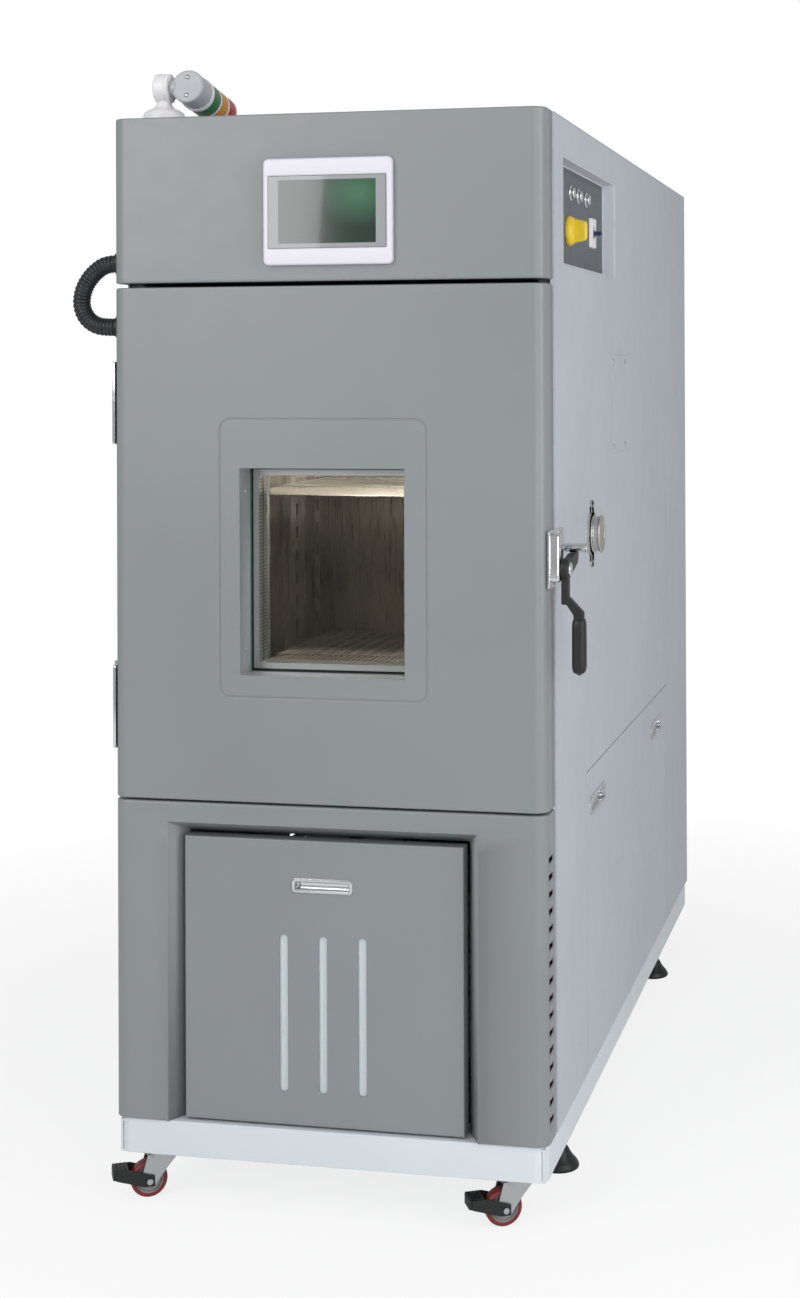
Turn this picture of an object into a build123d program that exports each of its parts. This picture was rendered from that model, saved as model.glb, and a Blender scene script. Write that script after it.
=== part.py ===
from build123d import *
import math
import os

# Environmental test chamber, in millimetres, +Z up. X runs to the right, Y to the back and
# Y = 0 is the face of the door. At the end everything moves so that the middle of the
# underside of its box is the origin.

# Driving dimensions
cabinet_width = 600.0
cabinet_depth = 1400.0
plinth_bottom = 70.0      # clear height under the base frame, set by the casters
plinth_height = 46.7
fascia_height = 430.0
door_height = 690.0
header_height = 224.0
seam = 0.3                # fit between panels that seat on each other
fascia_gap = 3.0          # lower fascia to door
door_gap = 6.0            # door to header
front_depth = 48.0        # thickness of the door, header and lower fascia
front_corner = 18.0       # radius of their vertical corners
seal_gap = 12.0           # between the front panels and the cabinet body
sheet = 1.5               # body sheet metal
skin = 2.5                # front panels
rear_section = 285.0      # depth of the rear cover

chamber_depth = 588.0
chamber_rise = 60.0       # bottom of the door up to the chamber floor
chamber_drop = 150.0      # top of the door down to the chamber roof
liner_wall = 2.0
insulation_wall = 84.0
wall_space = 8.0          # insulation to the outside of the cabinet
duct_space = 70.0         # air duct behind the back plate

window_margin = 92.0      # chamber wall to the window, on average
window_x = -5.0
window_lift = 8.0         # window above the chamber's middle
window_trim = 101.5       # chamber floor and roof to the window, on average
window_depth = 42.0       # face of the door to the outer pane
pane = 4.0
pane_gap = 14.0

plug_clearance = 8.0      # door plug to the chamber walls
plug_depth = 47.0
hinge_reach = 12.0        # pin out from the cabinet's side
hinge_y = 56.0
hinge_height = 112.0
knuckle_radius = 9.5

drawer_margin = 106.5     # cabinet side to drawer, on average
drawer_x = -8.5
drawer_gap = 3.0          # over the base frame
drawer_head = 47.0        # top of the drawer to the top of the lower fascia
drawer_front_y = 10.0
drawer_thickness = 24.0
drawer_travel = 300.0

kingpin_inset = 52.0
kingpin_front = 45.0
kingpin_back = 55.0
wheel_radius = 25.0
wheel_width = 20.0
trail = 20.0
foot_inset = 34.0
foot_front = 240.0
foot_back = 245.0
foot_radius = 29.0
stem_radius = 6.0

tray_front = 125.0        # sunk control tray
tray_length = 431.0
tray_rise = 24.0          # over the top of the door's gap
tray_height = 148.0
tray_depth = 20.0

port_y = 330.0
port_lift = 38.0          # above the chamber's middle
port_outer = 25.0
port_inner = 22.0

half_width = cabinet_width / 2
body_front = front_depth + seal_gap
body_rear = cabinet_depth - rear_section
plinth_top = plinth_bottom + plinth_height
fascia_bottom = plinth_top + seam
fascia_top = fascia_bottom + fascia_height
door_bottom = fascia_top + fascia_gap
door_top = door_bottom + door_height
door_middle = (door_bottom + door_top) / 2
header_bottom = door_top + door_gap
roof_level = header_bottom + header_height
chamber_floor = door_bottom + chamber_rise
chamber_top = door_top - chamber_drop
chamber_middle = (chamber_floor + chamber_top) / 2
chamber_half = half_width - wall_space - insulation_wall - liner_wall
chamber_rear = body_front + chamber_depth
window_width = 2 * (chamber_half - window_margin)
window_height = chamber_top - chamber_floor - 2 * window_trim
window_z = chamber_middle + window_lift
hinge_x = -half_width - hinge_reach
hinge_levels = (door_bottom + 121.0, door_top - 156.0)
drawer_width = cabinet_width - 2 * drawer_margin
drawer_bottom = fascia_bottom + drawer_gap
drawer_top = fascia_top - drawer_head
kingpin_x = half_width - kingpin_inset
kingpin_rear = cabinet_depth - kingpin_back
foot_x = half_width - foot_inset
foot_rear = cabinet_depth - foot_back
tray_rear = tray_front + tray_length
tray_bottom = header_bottom + tray_rise
tray_top = tray_bottom + tray_height
port_z = chamber_middle + port_lift

parts = {}


def block(x, y, z):
    """Box between pairs of lowest and highest values."""
    size = [max(span) - min(span) for span in (x, y, z)]
    middle = [sum(span) / 2 for span in (x, y, z)]
    return Pos(*middle) * Box(*size)


def rod_x(x, y, z, radius):
    return Pos((x[0] + x[1]) / 2, y, z) * Rot(0, 90, 0) * Cylinder(radius, abs(x[1] - x[0]))


def rod_y(x, y, z, radius):
    return Pos(x, (y[0] + y[1]) / 2, z) * Rot(90, 0, 0) * Cylinder(radius, abs(y[1] - y[0]))


def rod_z(x, y, z, radius):
    return Pos(x, y, (z[0] + z[1]) / 2) * Cylinder(radius, abs(z[1] - z[0]))


def front_block(half, y, z, corner):
    """Upright slab whose two front vertical corners are rounded."""
    plan = Pos(0, sum(y) / 2) * Rectangle(2 * half, y[1] - y[0])
    plan = fillet(plan.vertices().group_by(Axis.Y)[0], corner)
    return Pos(0, 0, z[0]) * extrude(plan, z[1] - z[0])


def front_shell(z, wall):
    """Pressed front panel, open at the back."""
    outer = front_block(half_width, (0, front_depth), z, front_corner)
    hollow = (z[0] + wall, z[1] - wall)
    depth = (wall, front_depth + wall)
    return outer - front_block(half_width - wall, depth, hollow, front_corner - wall)


def upright_frame(x, y, z, border):
    """Picture frame standing across the depth."""
    hole_x = (x[0] + border, x[1] - border)
    hole_z = (z[0] + border, z[1] - border)
    return block(x, y, z) - block(hole_x, (y[0] - 1, y[1] + 1), hole_z)


def rounded_plate(x, y, z, corner):
    """Plate facing the front with rounded corners."""
    face = Plane.XZ.offset(-y[1]) * Pos(sum(x) / 2, sum(z) / 2) * RectangleRounded(
        x[1] - x[0], z[1] - z[0], corner
    )
    return extrude(face, y[1] - y[0])


def turned(profile):
    """Body of revolution from points of radius and height."""
    return revolve(Plane.XZ * make_face(Polyline(*profile, close=True)), Axis.Z)


def grown(span, by):
    return (span[0] - by, span[1] + by)


# Base frame: skirt, floor pan, two box rails, caster plates and sockets for the feet
skirt_inset = 4.0
rail_width = 76.0
rail_wall = 3.0
caster_plate = 3.0
caster_plate_size = 60.0
socket_radius = 13.0
stem_clearance = 0.4


def base_frame():
    half = half_width - skirt_inset
    y = (skirt_inset, cabinet_depth - skirt_inset)
    z = (plinth_bottom, plinth_top)
    skirt = front_block(half, y, z, front_corner)
    inside = front_block(
        half - skin, (y[0] + skin, y[1] - skin), (z[0] - 1, z[1] - rail_wall), front_corner - skin
    )
    frame = skirt - inside
    rail_y = (y[0] + skin, y[1] - skin)
    rail_z = (plinth_bottom, plinth_top - rail_wall)
    for side in (-1, 1):
        middle = side * (half - skin - rail_width / 2)
        rail = block(grown((middle, middle), rail_width / 2), rail_y, rail_z)
        bore_x = grown((middle, middle), rail_width / 2 - rail_wall)
        bore = block(bore_x, grown(rail_y, 1), grown(rail_z, -rail_wall))
        frame += rail - bore
        for y_foot in (foot_front, foot_rear):
            frame += rod_z(side * foot_x, y_foot, rail_z, socket_radius)
            bore_z = (rail_z[0] - 1, plinth_top + 1)
            frame -= rod_z(side * foot_x, y_foot, bore_z, stem_radius + stem_clearance)
    plates = [
        block(
            grown((side * kingpin_x,) * 2, caster_plate_size / 2),
            grown((y_pin,) * 2, caster_plate_size / 2),
            (plinth_bottom - caster_plate, plinth_bottom),
        )
        for side in (-1, 1)
        for y_pin in (kingpin_front, kingpin_rear)
    ]
    return [frame, *plates]


# Cabinet body panels
return_flange = 22.0
lip_inset = 2.5
access_front = 284.0
access_top = door_bottom - 1.0
access_gap = 1.5
port_hole = port_outer + 1.0
cover_y = (520.0, 650.0)
cover_z = (port_z + 110.0, port_z + 262.0)
cover_thickness = 1.2
screw_radius = 3.5
screw_height = 1.6
screw_inset = 10.0
gland_radius = 16.0
gland_length = 5.0        # out from the side
vent_y = body_rear - 335.0
vent_z = fascia_bottom + 213.0
vent_count = 9
vent_pitch = 22.0
vent_length = 90.0
vent_height = 6.0


def side_panel(side):
    """Side sheet with a folded front return, a lip towards the door and a rear return."""
    outer = sorted((side * half_width, side * (half_width - sheet)))
    inner = sorted((side * (half_width - sheet), side * (half_width - return_flange)))
    lip = sorted((side * (half_width - lip_inset), side * (half_width - lip_inset - sheet)))
    y = (body_front, body_rear - access_gap)
    z = (fascia_bottom, roof_level - sheet - seam)
    panel = block(outer, y, z)
    panel += block(inner, (y[0], y[0] + sheet), z)
    panel += block(inner, (y[1] - sheet, y[1]), z)
    panel += block(lip, (front_depth + seam, body_front + sheet), z)
    panel += block(inner, y, (z[0], z[0] + sheet))
    return panel


def vent_slots(side, y_middle, z_middle):
    """Row of ventilation slots through a side sheet."""
    slots = Part()
    x = grown((side * half_width,) * 2, 2 * sheet)
    for i in range(vent_count):
        z = z_middle + (i - (vent_count - 1) / 2) * vent_pitch
        slots += block(x, grown((y_middle,) * 2, vent_length / 2), grown((z, z), vent_height / 2))
    return slots


def left_side_panel():
    return [side_panel(-1) - vent_slots(-1, vent_y, vent_z)]


def right_side_panel():
    panel = side_panel(1)
    through = grown((half_width,) * 2, 2 * sheet)
    panel -= block(through, (tray_front, tray_rear), (tray_bottom, tray_top))
    panel -= rod_x(through, port_y, port_z, port_hole)
    panel -= block(
        (half_width - 2 * return_flange, half_width + 2 * sheet),
        (access_front, body_rear),
        (fascia_bottom - 1, access_top),
    )
    cover = block((half_width, half_width + cover_thickness), cover_y, cover_z)
    face = half_width + cover_thickness
    screws = [
        rod_x((face, face + screw_height), y, z, screw_radius)
        for y in grown(cover_y, -screw_inset)
        for z in grown(cover_z, -screw_inset)
    ]
    return [panel, cover, *screws]


def roof_panel():
    x = (-half_width, half_width)
    y = (body_front, body_rear - access_gap)
    roof = block(x, y, (roof_level - sheet, roof_level))
    inner = half_width - return_flange - 1
    for span in ((y[0], y[0] + sheet), (y[1] - sheet, y[1])):
        roof += block((-inner, inner), span, (roof_level - return_flange, roof_level - sheet))
    lip_z = (roof_level - lip_inset - sheet, roof_level - lip_inset)
    roof += block((-inner, inner), (front_depth + seam, y[0] + sheet), lip_z)
    roof += block((-inner, inner), (y[0], y[0] + sheet), (lip_z[0], roof_level))
    return [roof]


grille_count = 12
grille_pitch = 26.0
grille_slot = 12.0
grille_width = 320.0
grille_x = -30.0
grille_bottom = fascia_bottom + 63.0
rear_gland_z = fascia_bottom + 73.0
rear_gland_x = half_width - 70.0
rear_gland = (16.0, 8.0)  # nut radius and height
rear_dome = (12.0, 12.0)


def rear_cover():
    """Deep box over the machine space, with a slotted grille and the mains gland."""
    outer = block((-half_width, half_width), (body_rear, cabinet_depth), (fascia_bottom, roof_level))
    inner = block(
        grown((-half_width, half_width), -sheet),
        (body_rear - 1, cabinet_depth - sheet),
        (fascia_bottom - 1, roof_level - sheet),
    )
    cover = outer - inner
    for side in (-1, 1):
        foot_x_span = sorted((side * (half_width - return_flange), side * half_width))
        cover += block(foot_x_span, (body_rear, cabinet_depth), (fascia_bottom, fascia_bottom + sheet))
    for i in range(grille_count):
        z = grille_bottom + i * grille_pitch
        cover -= block(
            grown((grille_x, grille_x), grille_width / 2),
            (cabinet_depth - 2 * sheet, cabinet_depth + 1),
            (z, z + grille_slot),
        )
    nut = Pos(rear_gland_x, cabinet_depth, rear_gland_z) * extrude(
        Plane.XZ * RegularPolygon(rear_gland[0], 6), -rear_gland[1]
    )
    seat = cabinet_depth + rear_gland[1]
    dome = rod_y(rear_gland_x, (seat, seat + rear_dome[1]), rear_gland_z, rear_dome[0])
    return [cover, nut + dome]


# Header and lower fascia
bezel_x = (-82.0, 96.0)
bezel_z = (header_bottom + 21.0, header_bottom + 163.0)
screen_x = (-75.0, 88.0)
screen_z = (header_bottom + 43.5, header_bottom + 139.5)
bezel_proud = 9.0
bezel_back = 26.0
opening_side = 18.0       # how far the reveal splays out at each side
opening_splay_top = 17.0
opening_back_gap = 3.0    # drawer panel to the back edge of the reveal
reveal_depth = 34.0
louvre_count = 16
louvre_height = 8.0
louvre_y = (12.0, 37.0)
louvre_z = (fascia_bottom + 28.0, fascia_top - 41.0)


def hose_gland(level):
    """Collar on the left edge that the hose screws into."""
    x = (-half_width - gland_length, -half_width)
    return rod_x(x, hose_y, level, gland_radius) - rod_x(grown(x, 1), hose_y, level, hose_radius - 4.0)


def header_fascia():
    shell = front_shell((header_bottom, roof_level), skin)
    cut_x = grown(bezel_x, -12.0)
    cut_z = grown(bezel_z, -12.0)
    shell -= block(cut_x, (-1, 2 * skin), cut_z)
    return [shell, hose_gland(hose_route[0][1])]


def splayed_hole(by):
    """Straight-sided hopper that narrows from the face to the drawer panel."""
    back_x = grown((drawer_x - drawer_width / 2, drawer_x + drawer_width / 2), opening_back_gap + by)
    back_top = drawer_top + opening_back_gap + by
    bottom = fascia_bottom - 20.0
    face_x = grown(back_x, opening_side)
    face_top = back_top + opening_splay_top
    wide = Plane.XZ.offset(1) * Pos(sum(face_x) / 2, (bottom + face_top) / 2) * Rectangle(
        face_x[1] - face_x[0], face_top - bottom
    )
    narrow = Plane.XZ.offset(-reveal_depth) * Pos(sum(back_x) / 2, (bottom + back_top) / 2) * Rectangle(
        back_x[1] - back_x[0], back_top - bottom
    )
    hopper = loft([wide.face(), narrow.face()])
    return hopper + block(back_x, (reveal_depth - 0.5, front_depth + 1), (bottom, back_top))


def lower_fascia():
    """Inverted U around the drawer, with a splayed reveal and louvres in both returns."""
    z = (fascia_bottom, fascia_top)
    envelope = front_block(half_width, (0, front_depth), z, front_corner)
    body = front_shell(z, skin) + (splayed_hole(skin) & envelope)
    body -= splayed_hole(0)
    pitch = (louvre_z[1] - louvre_z[0]) / louvre_count
    for i in range(louvre_count):
        z0 = louvre_z[0] + i * pitch
        body -= block((-half_width - 1, -half_width + 2 * skin), louvre_y, (z0, z0 + louvre_height))
        body -= block((half_width - 2 * skin, half_width + 1), louvre_y, (z0, z0 + louvre_height))
    return [body]


def screen_bezel():
    """Operator panel housing: rim with a sunk ledge for the screen and a box behind."""
    rim = rounded_plate(bezel_x, (-bezel_proud, -seam), bezel_z, 7.0)
    rim = chamfer(rim.faces().sort_by(Axis.Y)[0].edges(), 2.5)
    rim -= block(screen_x, (-bezel_proud - 1, -bezel_proud + 4.0), screen_z)
    rear_x = grown(bezel_x, -13.0)
    rear_z = grown(bezel_z, -13.0)
    rear = block(rear_x, (-seam, bezel_back), rear_z)
    rear -= block(grown(rear_x, -2.0), (2.0, bezel_back + 1), grown(rear_z, -2.0))
    return [rim + rear]


def touch_screen():
    y = (-bezel_proud + 1.2, -bezel_proud + 4.0 - 0.2)
    return [block(grown(screen_x, -seam), y, grown(screen_z, -seam))]


# Insulated chamber
liner_flange_inset = 26.0
shaft_radius = 6.0
fan_z = chamber_top - 130.0
fan_radius = 85.0
fan_width = 38.0
duct_gap = 2.0
throat_z = (door_bottom + 10.0, door_top - 8.0)


def box_walls(x, y, z, wall):
    """Left, right, floor, roof and back slabs around a space that is open at the front."""
    deep = (y[0], y[1] + wall)
    return [
        block((x[0] - wall, x[0]), deep, grown(z, wall)),
        block((x[1], x[1] + wall), deep, grown(z, wall)),
        block(x, deep, (z[0] - wall, z[0])),
        block(x, deep, (z[1], z[1] + wall)),
        block(x, (y[1], y[1] + wall), z),
    ]


def chamber_liner():
    """Stainless sheets of the open box, and the flange strips that the door seal meets."""
    inner_x = (-chamber_half, chamber_half)
    inner_z = (chamber_floor, chamber_top)
    left, right, floor, roof, back = box_walls(inner_x, (body_front, chamber_rear), inner_z, liner_wall)
    back -= rod_y(0, (chamber_rear - 1, chamber_rear + 2 * liner_wall), fan_z, shaft_radius + 2.0)
    right -= rod_x((chamber_half - 1, chamber_half + 2 * liner_wall), port_y, port_z, port_outer + seam)
    flange_half = half_width - liner_flange_inset
    outer_x, outer_z = grown(inner_x, liner_wall), grown(inner_z, liner_wall)
    strip_y = (body_front, body_front + liner_wall)
    strips = [
        block((-flange_half, outer_x[0]), strip_y, throat_z),
        block((outer_x[1], flange_half), strip_y, throat_z),
        block(outer_x, strip_y, (throat_z[0], outer_z[0])),
        block(outer_x, strip_y, (outer_z[1], throat_z[1])),
    ]
    return [left, right, floor, roof, back, *strips]


def chamber_insulation():
    """Foam slabs around the liner."""
    half = chamber_half + liner_wall + insulation_wall
    fit = liner_wall + seam
    front = body_front + fit
    rear = chamber_rear + liner_wall + insulation_wall
    z = (chamber_floor - liner_wall - 52.0, chamber_top + liner_wall + 100.0)
    hollow_x = grown((-chamber_half, chamber_half), fit)
    hollow_z = grown((chamber_floor, chamber_top), fit)
    left = block((-half, hollow_x[0]), (front, rear), z)
    right = block((hollow_x[1], half), (front, rear), z)
    floor = block(hollow_x, (front, rear), (z[0], hollow_z[0]))
    roof = block(hollow_x, (front, rear), (hollow_z[1], z[1]))
    back = block(hollow_x, (chamber_rear + fit, rear), hollow_z)
    back -= rod_y(0, (chamber_rear, rear + 1), fan_z, shaft_radius + 4.0)
    right -= rod_x((chamber_half, half + 1), port_y, port_z, port_outer + seam)
    return [left, right, floor, roof, back]


duct_face = chamber_rear - duct_space
duct_slot_count = 9
coil_z = (chamber_floor + 30.0, fan_z - fan_radius - 75.0)
coil_fins = 14
coil_tubes = 4
coil_tube_radius = 6.0
coil_half = chamber_half - 76.0


def air_duct_plate():
    """Back plate with discharge and return slots, and the cooling coil behind it."""
    half = chamber_half - duct_gap
    z = (chamber_floor + duct_gap, chamber_top - duct_gap)
    y = (duct_face, chamber_rear - seam)
    plate = block((-half, half), (y[0], y[0] + sheet), z)
    for side in (-1, 1):
        plate += block(sorted((side * half, side * (half - sheet))), y, z)
    slot_pitch_x = (2 * half - 66.0) / duct_slot_count
    for i in range(duct_slot_count):
        x = (i - (duct_slot_count - 1) / 2) * slot_pitch_x
        slot_x = grown((x, x), slot_pitch_x / 2 - 6.0)
        plate -= block(slot_x, (y[0] - 1, y[0] + 2 * sheet), (z[1] - 34.0, z[1] - 22.0))
        plate -= block(slot_x, (y[0] - 1, y[0] + 2 * sheet), (z[0] + 14.0, z[0] + 26.0))
    coil_y = (y[0] + sheet + 8.0, y[1] - 14.0)
    coil = Part()
    pitch = 2 * coil_half / (coil_fins - 1)
    for i in range(coil_fins):
        coil += block(grown((-coil_half + i * pitch,) * 2, 1.5), coil_y, coil_z)
    tube_pitch = (coil_z[1] - coil_z[0]) / coil_tubes
    for i in range(coil_tubes):
        z_tube = coil_z[0] + (i + 0.5) * tube_pitch
        coil += rod_x(grown((-coil_half, coil_half), 15.0), sum(coil_y) / 2, z_tube, coil_tube_radius)
    bracket_z = (coil_z[0] - 12.0, coil_z[0] - seam)
    brackets = [
        block(grown((side * coil_half,) * 2, 4.0), (y[0] + sheet, coil_y[1]), bracket_z)
        for side in (-1, 1)
    ]
    return [plate, coil, *brackets]


upright_y = (425.0, 490.0)
rear_upright_y = (546.0, 576.0)
upright_depth = 15.0
slot_pitch = 36.0
shelf_half = chamber_half - 35.0
shelf_y = (303.0, 572.0)
shelf_levels = (chamber_floor + 96.0, chamber_top - 134.0)
shelf_bar = 16.0
shelf_wire = 1.6
wire_count = 15


def shelf_uprights():
    """Slotted channels on the chamber walls."""
    channels = []
    z = (chamber_floor + 30.0, chamber_top - 30.0)
    for side in (-1, 1):
        for y in (upright_y, rear_upright_y):
            wall_x = side * (chamber_half - seam)
            face_x = side * (chamber_half - upright_depth)
            channel = block(sorted((wall_x, face_x)), y, z)
            channel -= block(
                sorted((wall_x + side, face_x + side * sheet)), grown(y, -sheet), grown(z, 1)
            )
            count = int((z[1] - z[0]) / slot_pitch)
            for i in range(count):
                z0 = z[0] + (i + 0.5) * slot_pitch
                channel -= block(
                    grown((face_x, face_x), 2 * sheet), grown((sum(y) / 2,) * 2, 4.0), (z0 - 9.0, z0 + 9.0)
                )
            channels.append(channel)
    return channels


def shelf(level):
    """Frame of flat bars, wires front to back and hooks into the uprights."""
    z = (level - shelf_bar, level)
    x = (-shelf_half, shelf_half)
    tray = block(x, shelf_y, z) - block(grown(x, -3.0), grown(shelf_y, -3.0), grown(z, 1))
    step = 2 * (shelf_half - 3.0) / (wire_count + 1)
    for i in range(wire_count):
        wire_x = x[0] + 3.0 + (i + 1) * step
        tray += block(grown((wire_x,) * 2, shelf_wire), grown(shelf_y, -2.0), (level - 3.2, level))
    for y in (shelf_y[0] + 90.0, shelf_y[1] - 90.0):
        tray += block(grown(x, -2.0), grown((y, y), 2.5), (level - 8.2, level - 3.2))
    for side in (-1, 1):
        for y in (sum(upright_y) / 2, sum(rear_upright_y) / 2 - 8.0):
            reach = chamber_half - upright_depth - seam
            tray += block(sorted((side * (shelf_half - 1), side * reach)), grown((y, y), 2.5), z)
    return tray


def shelves():
    return [shelf(level) for level in shelf_levels]


fan_blades = 16
motor_radius = 60.0
motor_length = 95.0


def circulation_fan():
    """Blower wheel: back disc, rim, curved blades and the shaft to the motor."""
    y0 = duct_face + 16.0
    disc = rod_y(0, (y0 + fan_width, y0 + fan_width + 3.0), fan_z, fan_radius)
    rim = rod_y(0, (y0, y0 + 2.0), fan_z, fan_radius) - rod_y(0, (y0 - 1, y0 + 3), fan_z, fan_radius - 14.0)
    wheel = disc + rim + rod_y(0, (y0 + 12.0, y0 + fan_width + 3.0), fan_z, 16.0)
    for i in range(fan_blades):
        blade = Pos(fan_radius - 12.0, 0) * Rot(0, 0, 28) * Rectangle(22.0, 1.8)
        blade = Plane.XZ.offset(-y0 - fan_width) * Rot(0, 0, 360.0 / fan_blades * i) * blade
        wheel += Pos(0, 0, fan_z) * extrude(blade, fan_width)
    motor_face = chamber_rear + liner_wall + insulation_wall + seam
    wheel += rod_y(0, (y0 + fan_width, motor_face + 30.0), fan_z, shaft_radius)
    return [wheel]


def fan_motor():
    """Motor behind the insulation, on a square flange with cooling ribs."""
    y0 = chamber_rear + liner_wall + insulation_wall + seam
    motor = rod_y(0, (y0 + 6.0, y0 + motor_length), fan_z, motor_radius - 6.0)
    for i in range(6):
        y = y0 + 16.0 + i * 12.0
        motor += rod_y(0, (y, y + 4.0), fan_z, motor_radius)
    motor += block((-70.0, 70.0), (y0, y0 + 6.0), (fan_z - 70.0, fan_z + 70.0))
    motor -= rod_y(0, (y0 - 1, y0 + 32.0), fan_z, shaft_radius + 0.5)
    return [motor]


# Sunk control tray in the right side
button_y = (tray_front + 156.0, tray_front + 215.0, tray_front + 280.0)
button_z = tray_bottom + 111.0
button_radius = 8.0
button_travel = 3.0
button_proud = button_travel + 5.0
button_body = 14.0
knob_y = tray_front + 137.0
knob_z = tray_bottom + 55.0
knob_length = 28.0
knob_base = 21.5
knob_tip = 13.5
breaker_y = (tray_front + 311.0, tray_front + 347.0)
breaker_z = (tray_bottom + 42.0, tray_bottom + 87.0)
breaker_body = 62.0
breaker_proud = 5.0
toggle_y = (tray_front + 321.0, tray_front + 337.0)
toggle_z = tray_bottom + 64.0
toggle_radius = 7.0
toggle_half = 3.0         # half the thickness of its lever
toggle_pin = 2.0
pocket_radius = 10.5      # gives the lever its swing
toggle_proud = 12.0
plate_x = half_width - tray_depth


def control_tray():
    """Folded tray with its button collars and the two-pole breaker."""
    y = grown((tray_front, tray_rear), -seam)
    z = grown((tray_bottom, tray_top), -seam)
    x = (plate_x - sheet, half_width)
    tray = block(x, y, z) - block((plate_x, half_width + 1), grown(y, -sheet), grown(z, -sheet))
    collars = []
    for y_button in button_y:
        bore = rod_x((plate_x - 5.0, half_width), y_button, button_z, button_radius + seam)
        tray -= bore
        collars.append(rod_x((plate_x, plate_x + 3.0), y_button, button_z, button_radius + 3.5) - bore)
    tray -= rod_x((plate_x - 5.0, plate_x + 1.0), knob_y, knob_z, 5.5)
    tray -= block((plate_x - 5.0, plate_x + 1.0), breaker_y, breaker_z)
    breaker_x = (plate_x - breaker_body, plate_x + breaker_proud)
    breaker = block(breaker_x, grown(breaker_y, -seam), grown(breaker_z, -seam))
    breaker = fillet(breaker.faces().sort_by(Axis.X)[-1].edges(), 1.5)
    pocket = rod_y(plate_x, grown(toggle_y, 1.0), toggle_z, pocket_radius)
    breaker -= pocket + rod_y(plate_x, grown(toggle_y, 4.5), toggle_z, toggle_pin + 0.15)
    return [tray, *collars, breaker]


def push_button(y):
    tip = plate_x + button_proud
    button = rod_x((plate_x - button_body, tip), y, button_z, button_radius)
    button = fillet(button.faces().sort_by(Axis.X)[-1].edges(), 1.5)
    return [button]


def main_switch_knob():
    """Tapered rotary knob with a grip bar and its spindle."""
    base = plate_x + seam
    profile = [(0, 0), (knob_base, 0), (knob_base, 5.0), (knob_tip, knob_length), (0, knob_length)]
    knob = Pos(base, knob_y, knob_z) * Rot(0, 90, 0) * turned(profile)
    for side in (-1, 1):
        y = sorted((knob_y + side * 6.0, knob_y + side * (knob_base + 1)))
        knob -= block((base + 9.0, base + knob_length + 1), y, grown((knob_z,) * 2, knob_base + 1))
    return [knob + rod_x((plate_x - 25.0, base + 1), knob_y, knob_z, 5.0)]


def breaker_toggle():
    """Rocking toggle: a short drum on its pin and the lever that stands out of it."""
    drum = rod_y(plate_x, toggle_y, toggle_z, toggle_radius)
    tip = plate_x + breaker_proud + toggle_proud
    toggle = drum + block((plate_x, tip), toggle_y, grown((toggle_z,) * 2, toggle_half))
    return [toggle + rod_y(plate_x, grown(toggle_y, 4.0), toggle_z, toggle_pin)]


# Test port in the right side
flange_x = (half_width, half_width + 3.0)
ear_pitch = 40.0
cap_radius = 28.0
cap_length = 14.0
plug_reach = 60.0
plug_wall = 4.0


def test_port():
    """Lined tube through the wall, with an eared flange and two screws."""
    tube = rod_x((chamber_half - seam, flange_x[1]), port_y, port_z, port_outer)
    ears = Plane.YZ * SlotCenterToCenter(2 * ear_pitch, 18.0, rotation=90)
    plate = Pos(flange_x[0], port_y, port_z) * extrude(ears, flange_x[1] - flange_x[0])
    tube += plate + rod_x(flange_x, port_y, port_z, cap_radius + 5.0)
    tube -= rod_x((chamber_half - 1, half_width + 10.0), port_y, port_z, port_inner)
    screws = [
        rod_x((flange_x[1], flange_x[1] + screw_height), port_y, port_z + side * ear_pitch, screw_radius)
        for side in (-1, 1)
    ]
    return [tube, *screws]


def test_port_cap():
    """Turned cap with a rolled rim and the hollow plug that fills the tube."""
    x0 = flange_x[1] + seam
    profile = [
        (0, -plug_wall),
        (port_inner - 0.5 - plug_wall, -plug_wall),
        (port_inner - 0.5 - plug_wall, -plug_reach),
        (port_inner - 0.5, -plug_reach),
        (port_inner - 0.5, 0),
        (cap_radius, 0),
        (cap_radius, 3.0),
        (cap_radius - 2.0, 4.0),
        (cap_radius - 2.0, cap_length - 2.0),
        (cap_radius - 4.0, cap_length),
        (0, cap_length),
    ]
    return [Pos(x0, port_y, port_z) * Rot(0, 90, 0) * turned(profile)]


# Access panel with two paddle locks
lock_centres = (access_front + 90.0, body_rear - 134.0)
lock_z = access_top - 55.0
lock_length = 133.0
lock_height = 28.0
lock_rim = 3.0
lock_sink = 9.0
paddle_clearance = 0.6


def access_panel():
    """Lift-out panel with folded edges and sunk lock dishes."""
    y = (access_front + access_gap, body_rear - 2 * access_gap)
    z = (fascia_bottom, access_top - access_gap)
    x = (half_width - sheet, half_width)
    panel = block(x, y, z)
    fold = block((half_width - 14.0, half_width), y, z)
    panel += fold - block((half_width - 15.0, half_width + 1), grown(y, -sheet), grown(z, -sheet))
    dishes = []
    for centre in lock_centres:
        hole = Pos(half_width - 20.0, centre, lock_z) * extrude(
            Plane.YZ * SlotOverall(lock_length - 2 * lock_rim, lock_height - 2 * lock_rim), 30.0
        )
        edge = SlotOverall(lock_length, lock_height)
        rim = Pos(half_width, centre, lock_z) * extrude(Plane.YZ * edge, 2.0)
        cup = Pos(half_width - lock_sink - 2.0, centre, lock_z) * extrude(
            Plane.YZ * SlotOverall(lock_length - 2 * lock_rim, lock_height - 2 * lock_rim), lock_sink + 4.0
        )
        hollow = Pos(half_width - lock_sink, centre, lock_z) * extrude(
            Plane.YZ * SlotOverall(lock_length - 2 * lock_rim - 3.0, lock_height - 2 * lock_rim - 3.0), 30.0
        )
        panel -= hole
        dishes.append(rim + cup - hollow)
    return [panel, *dishes]


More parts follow.
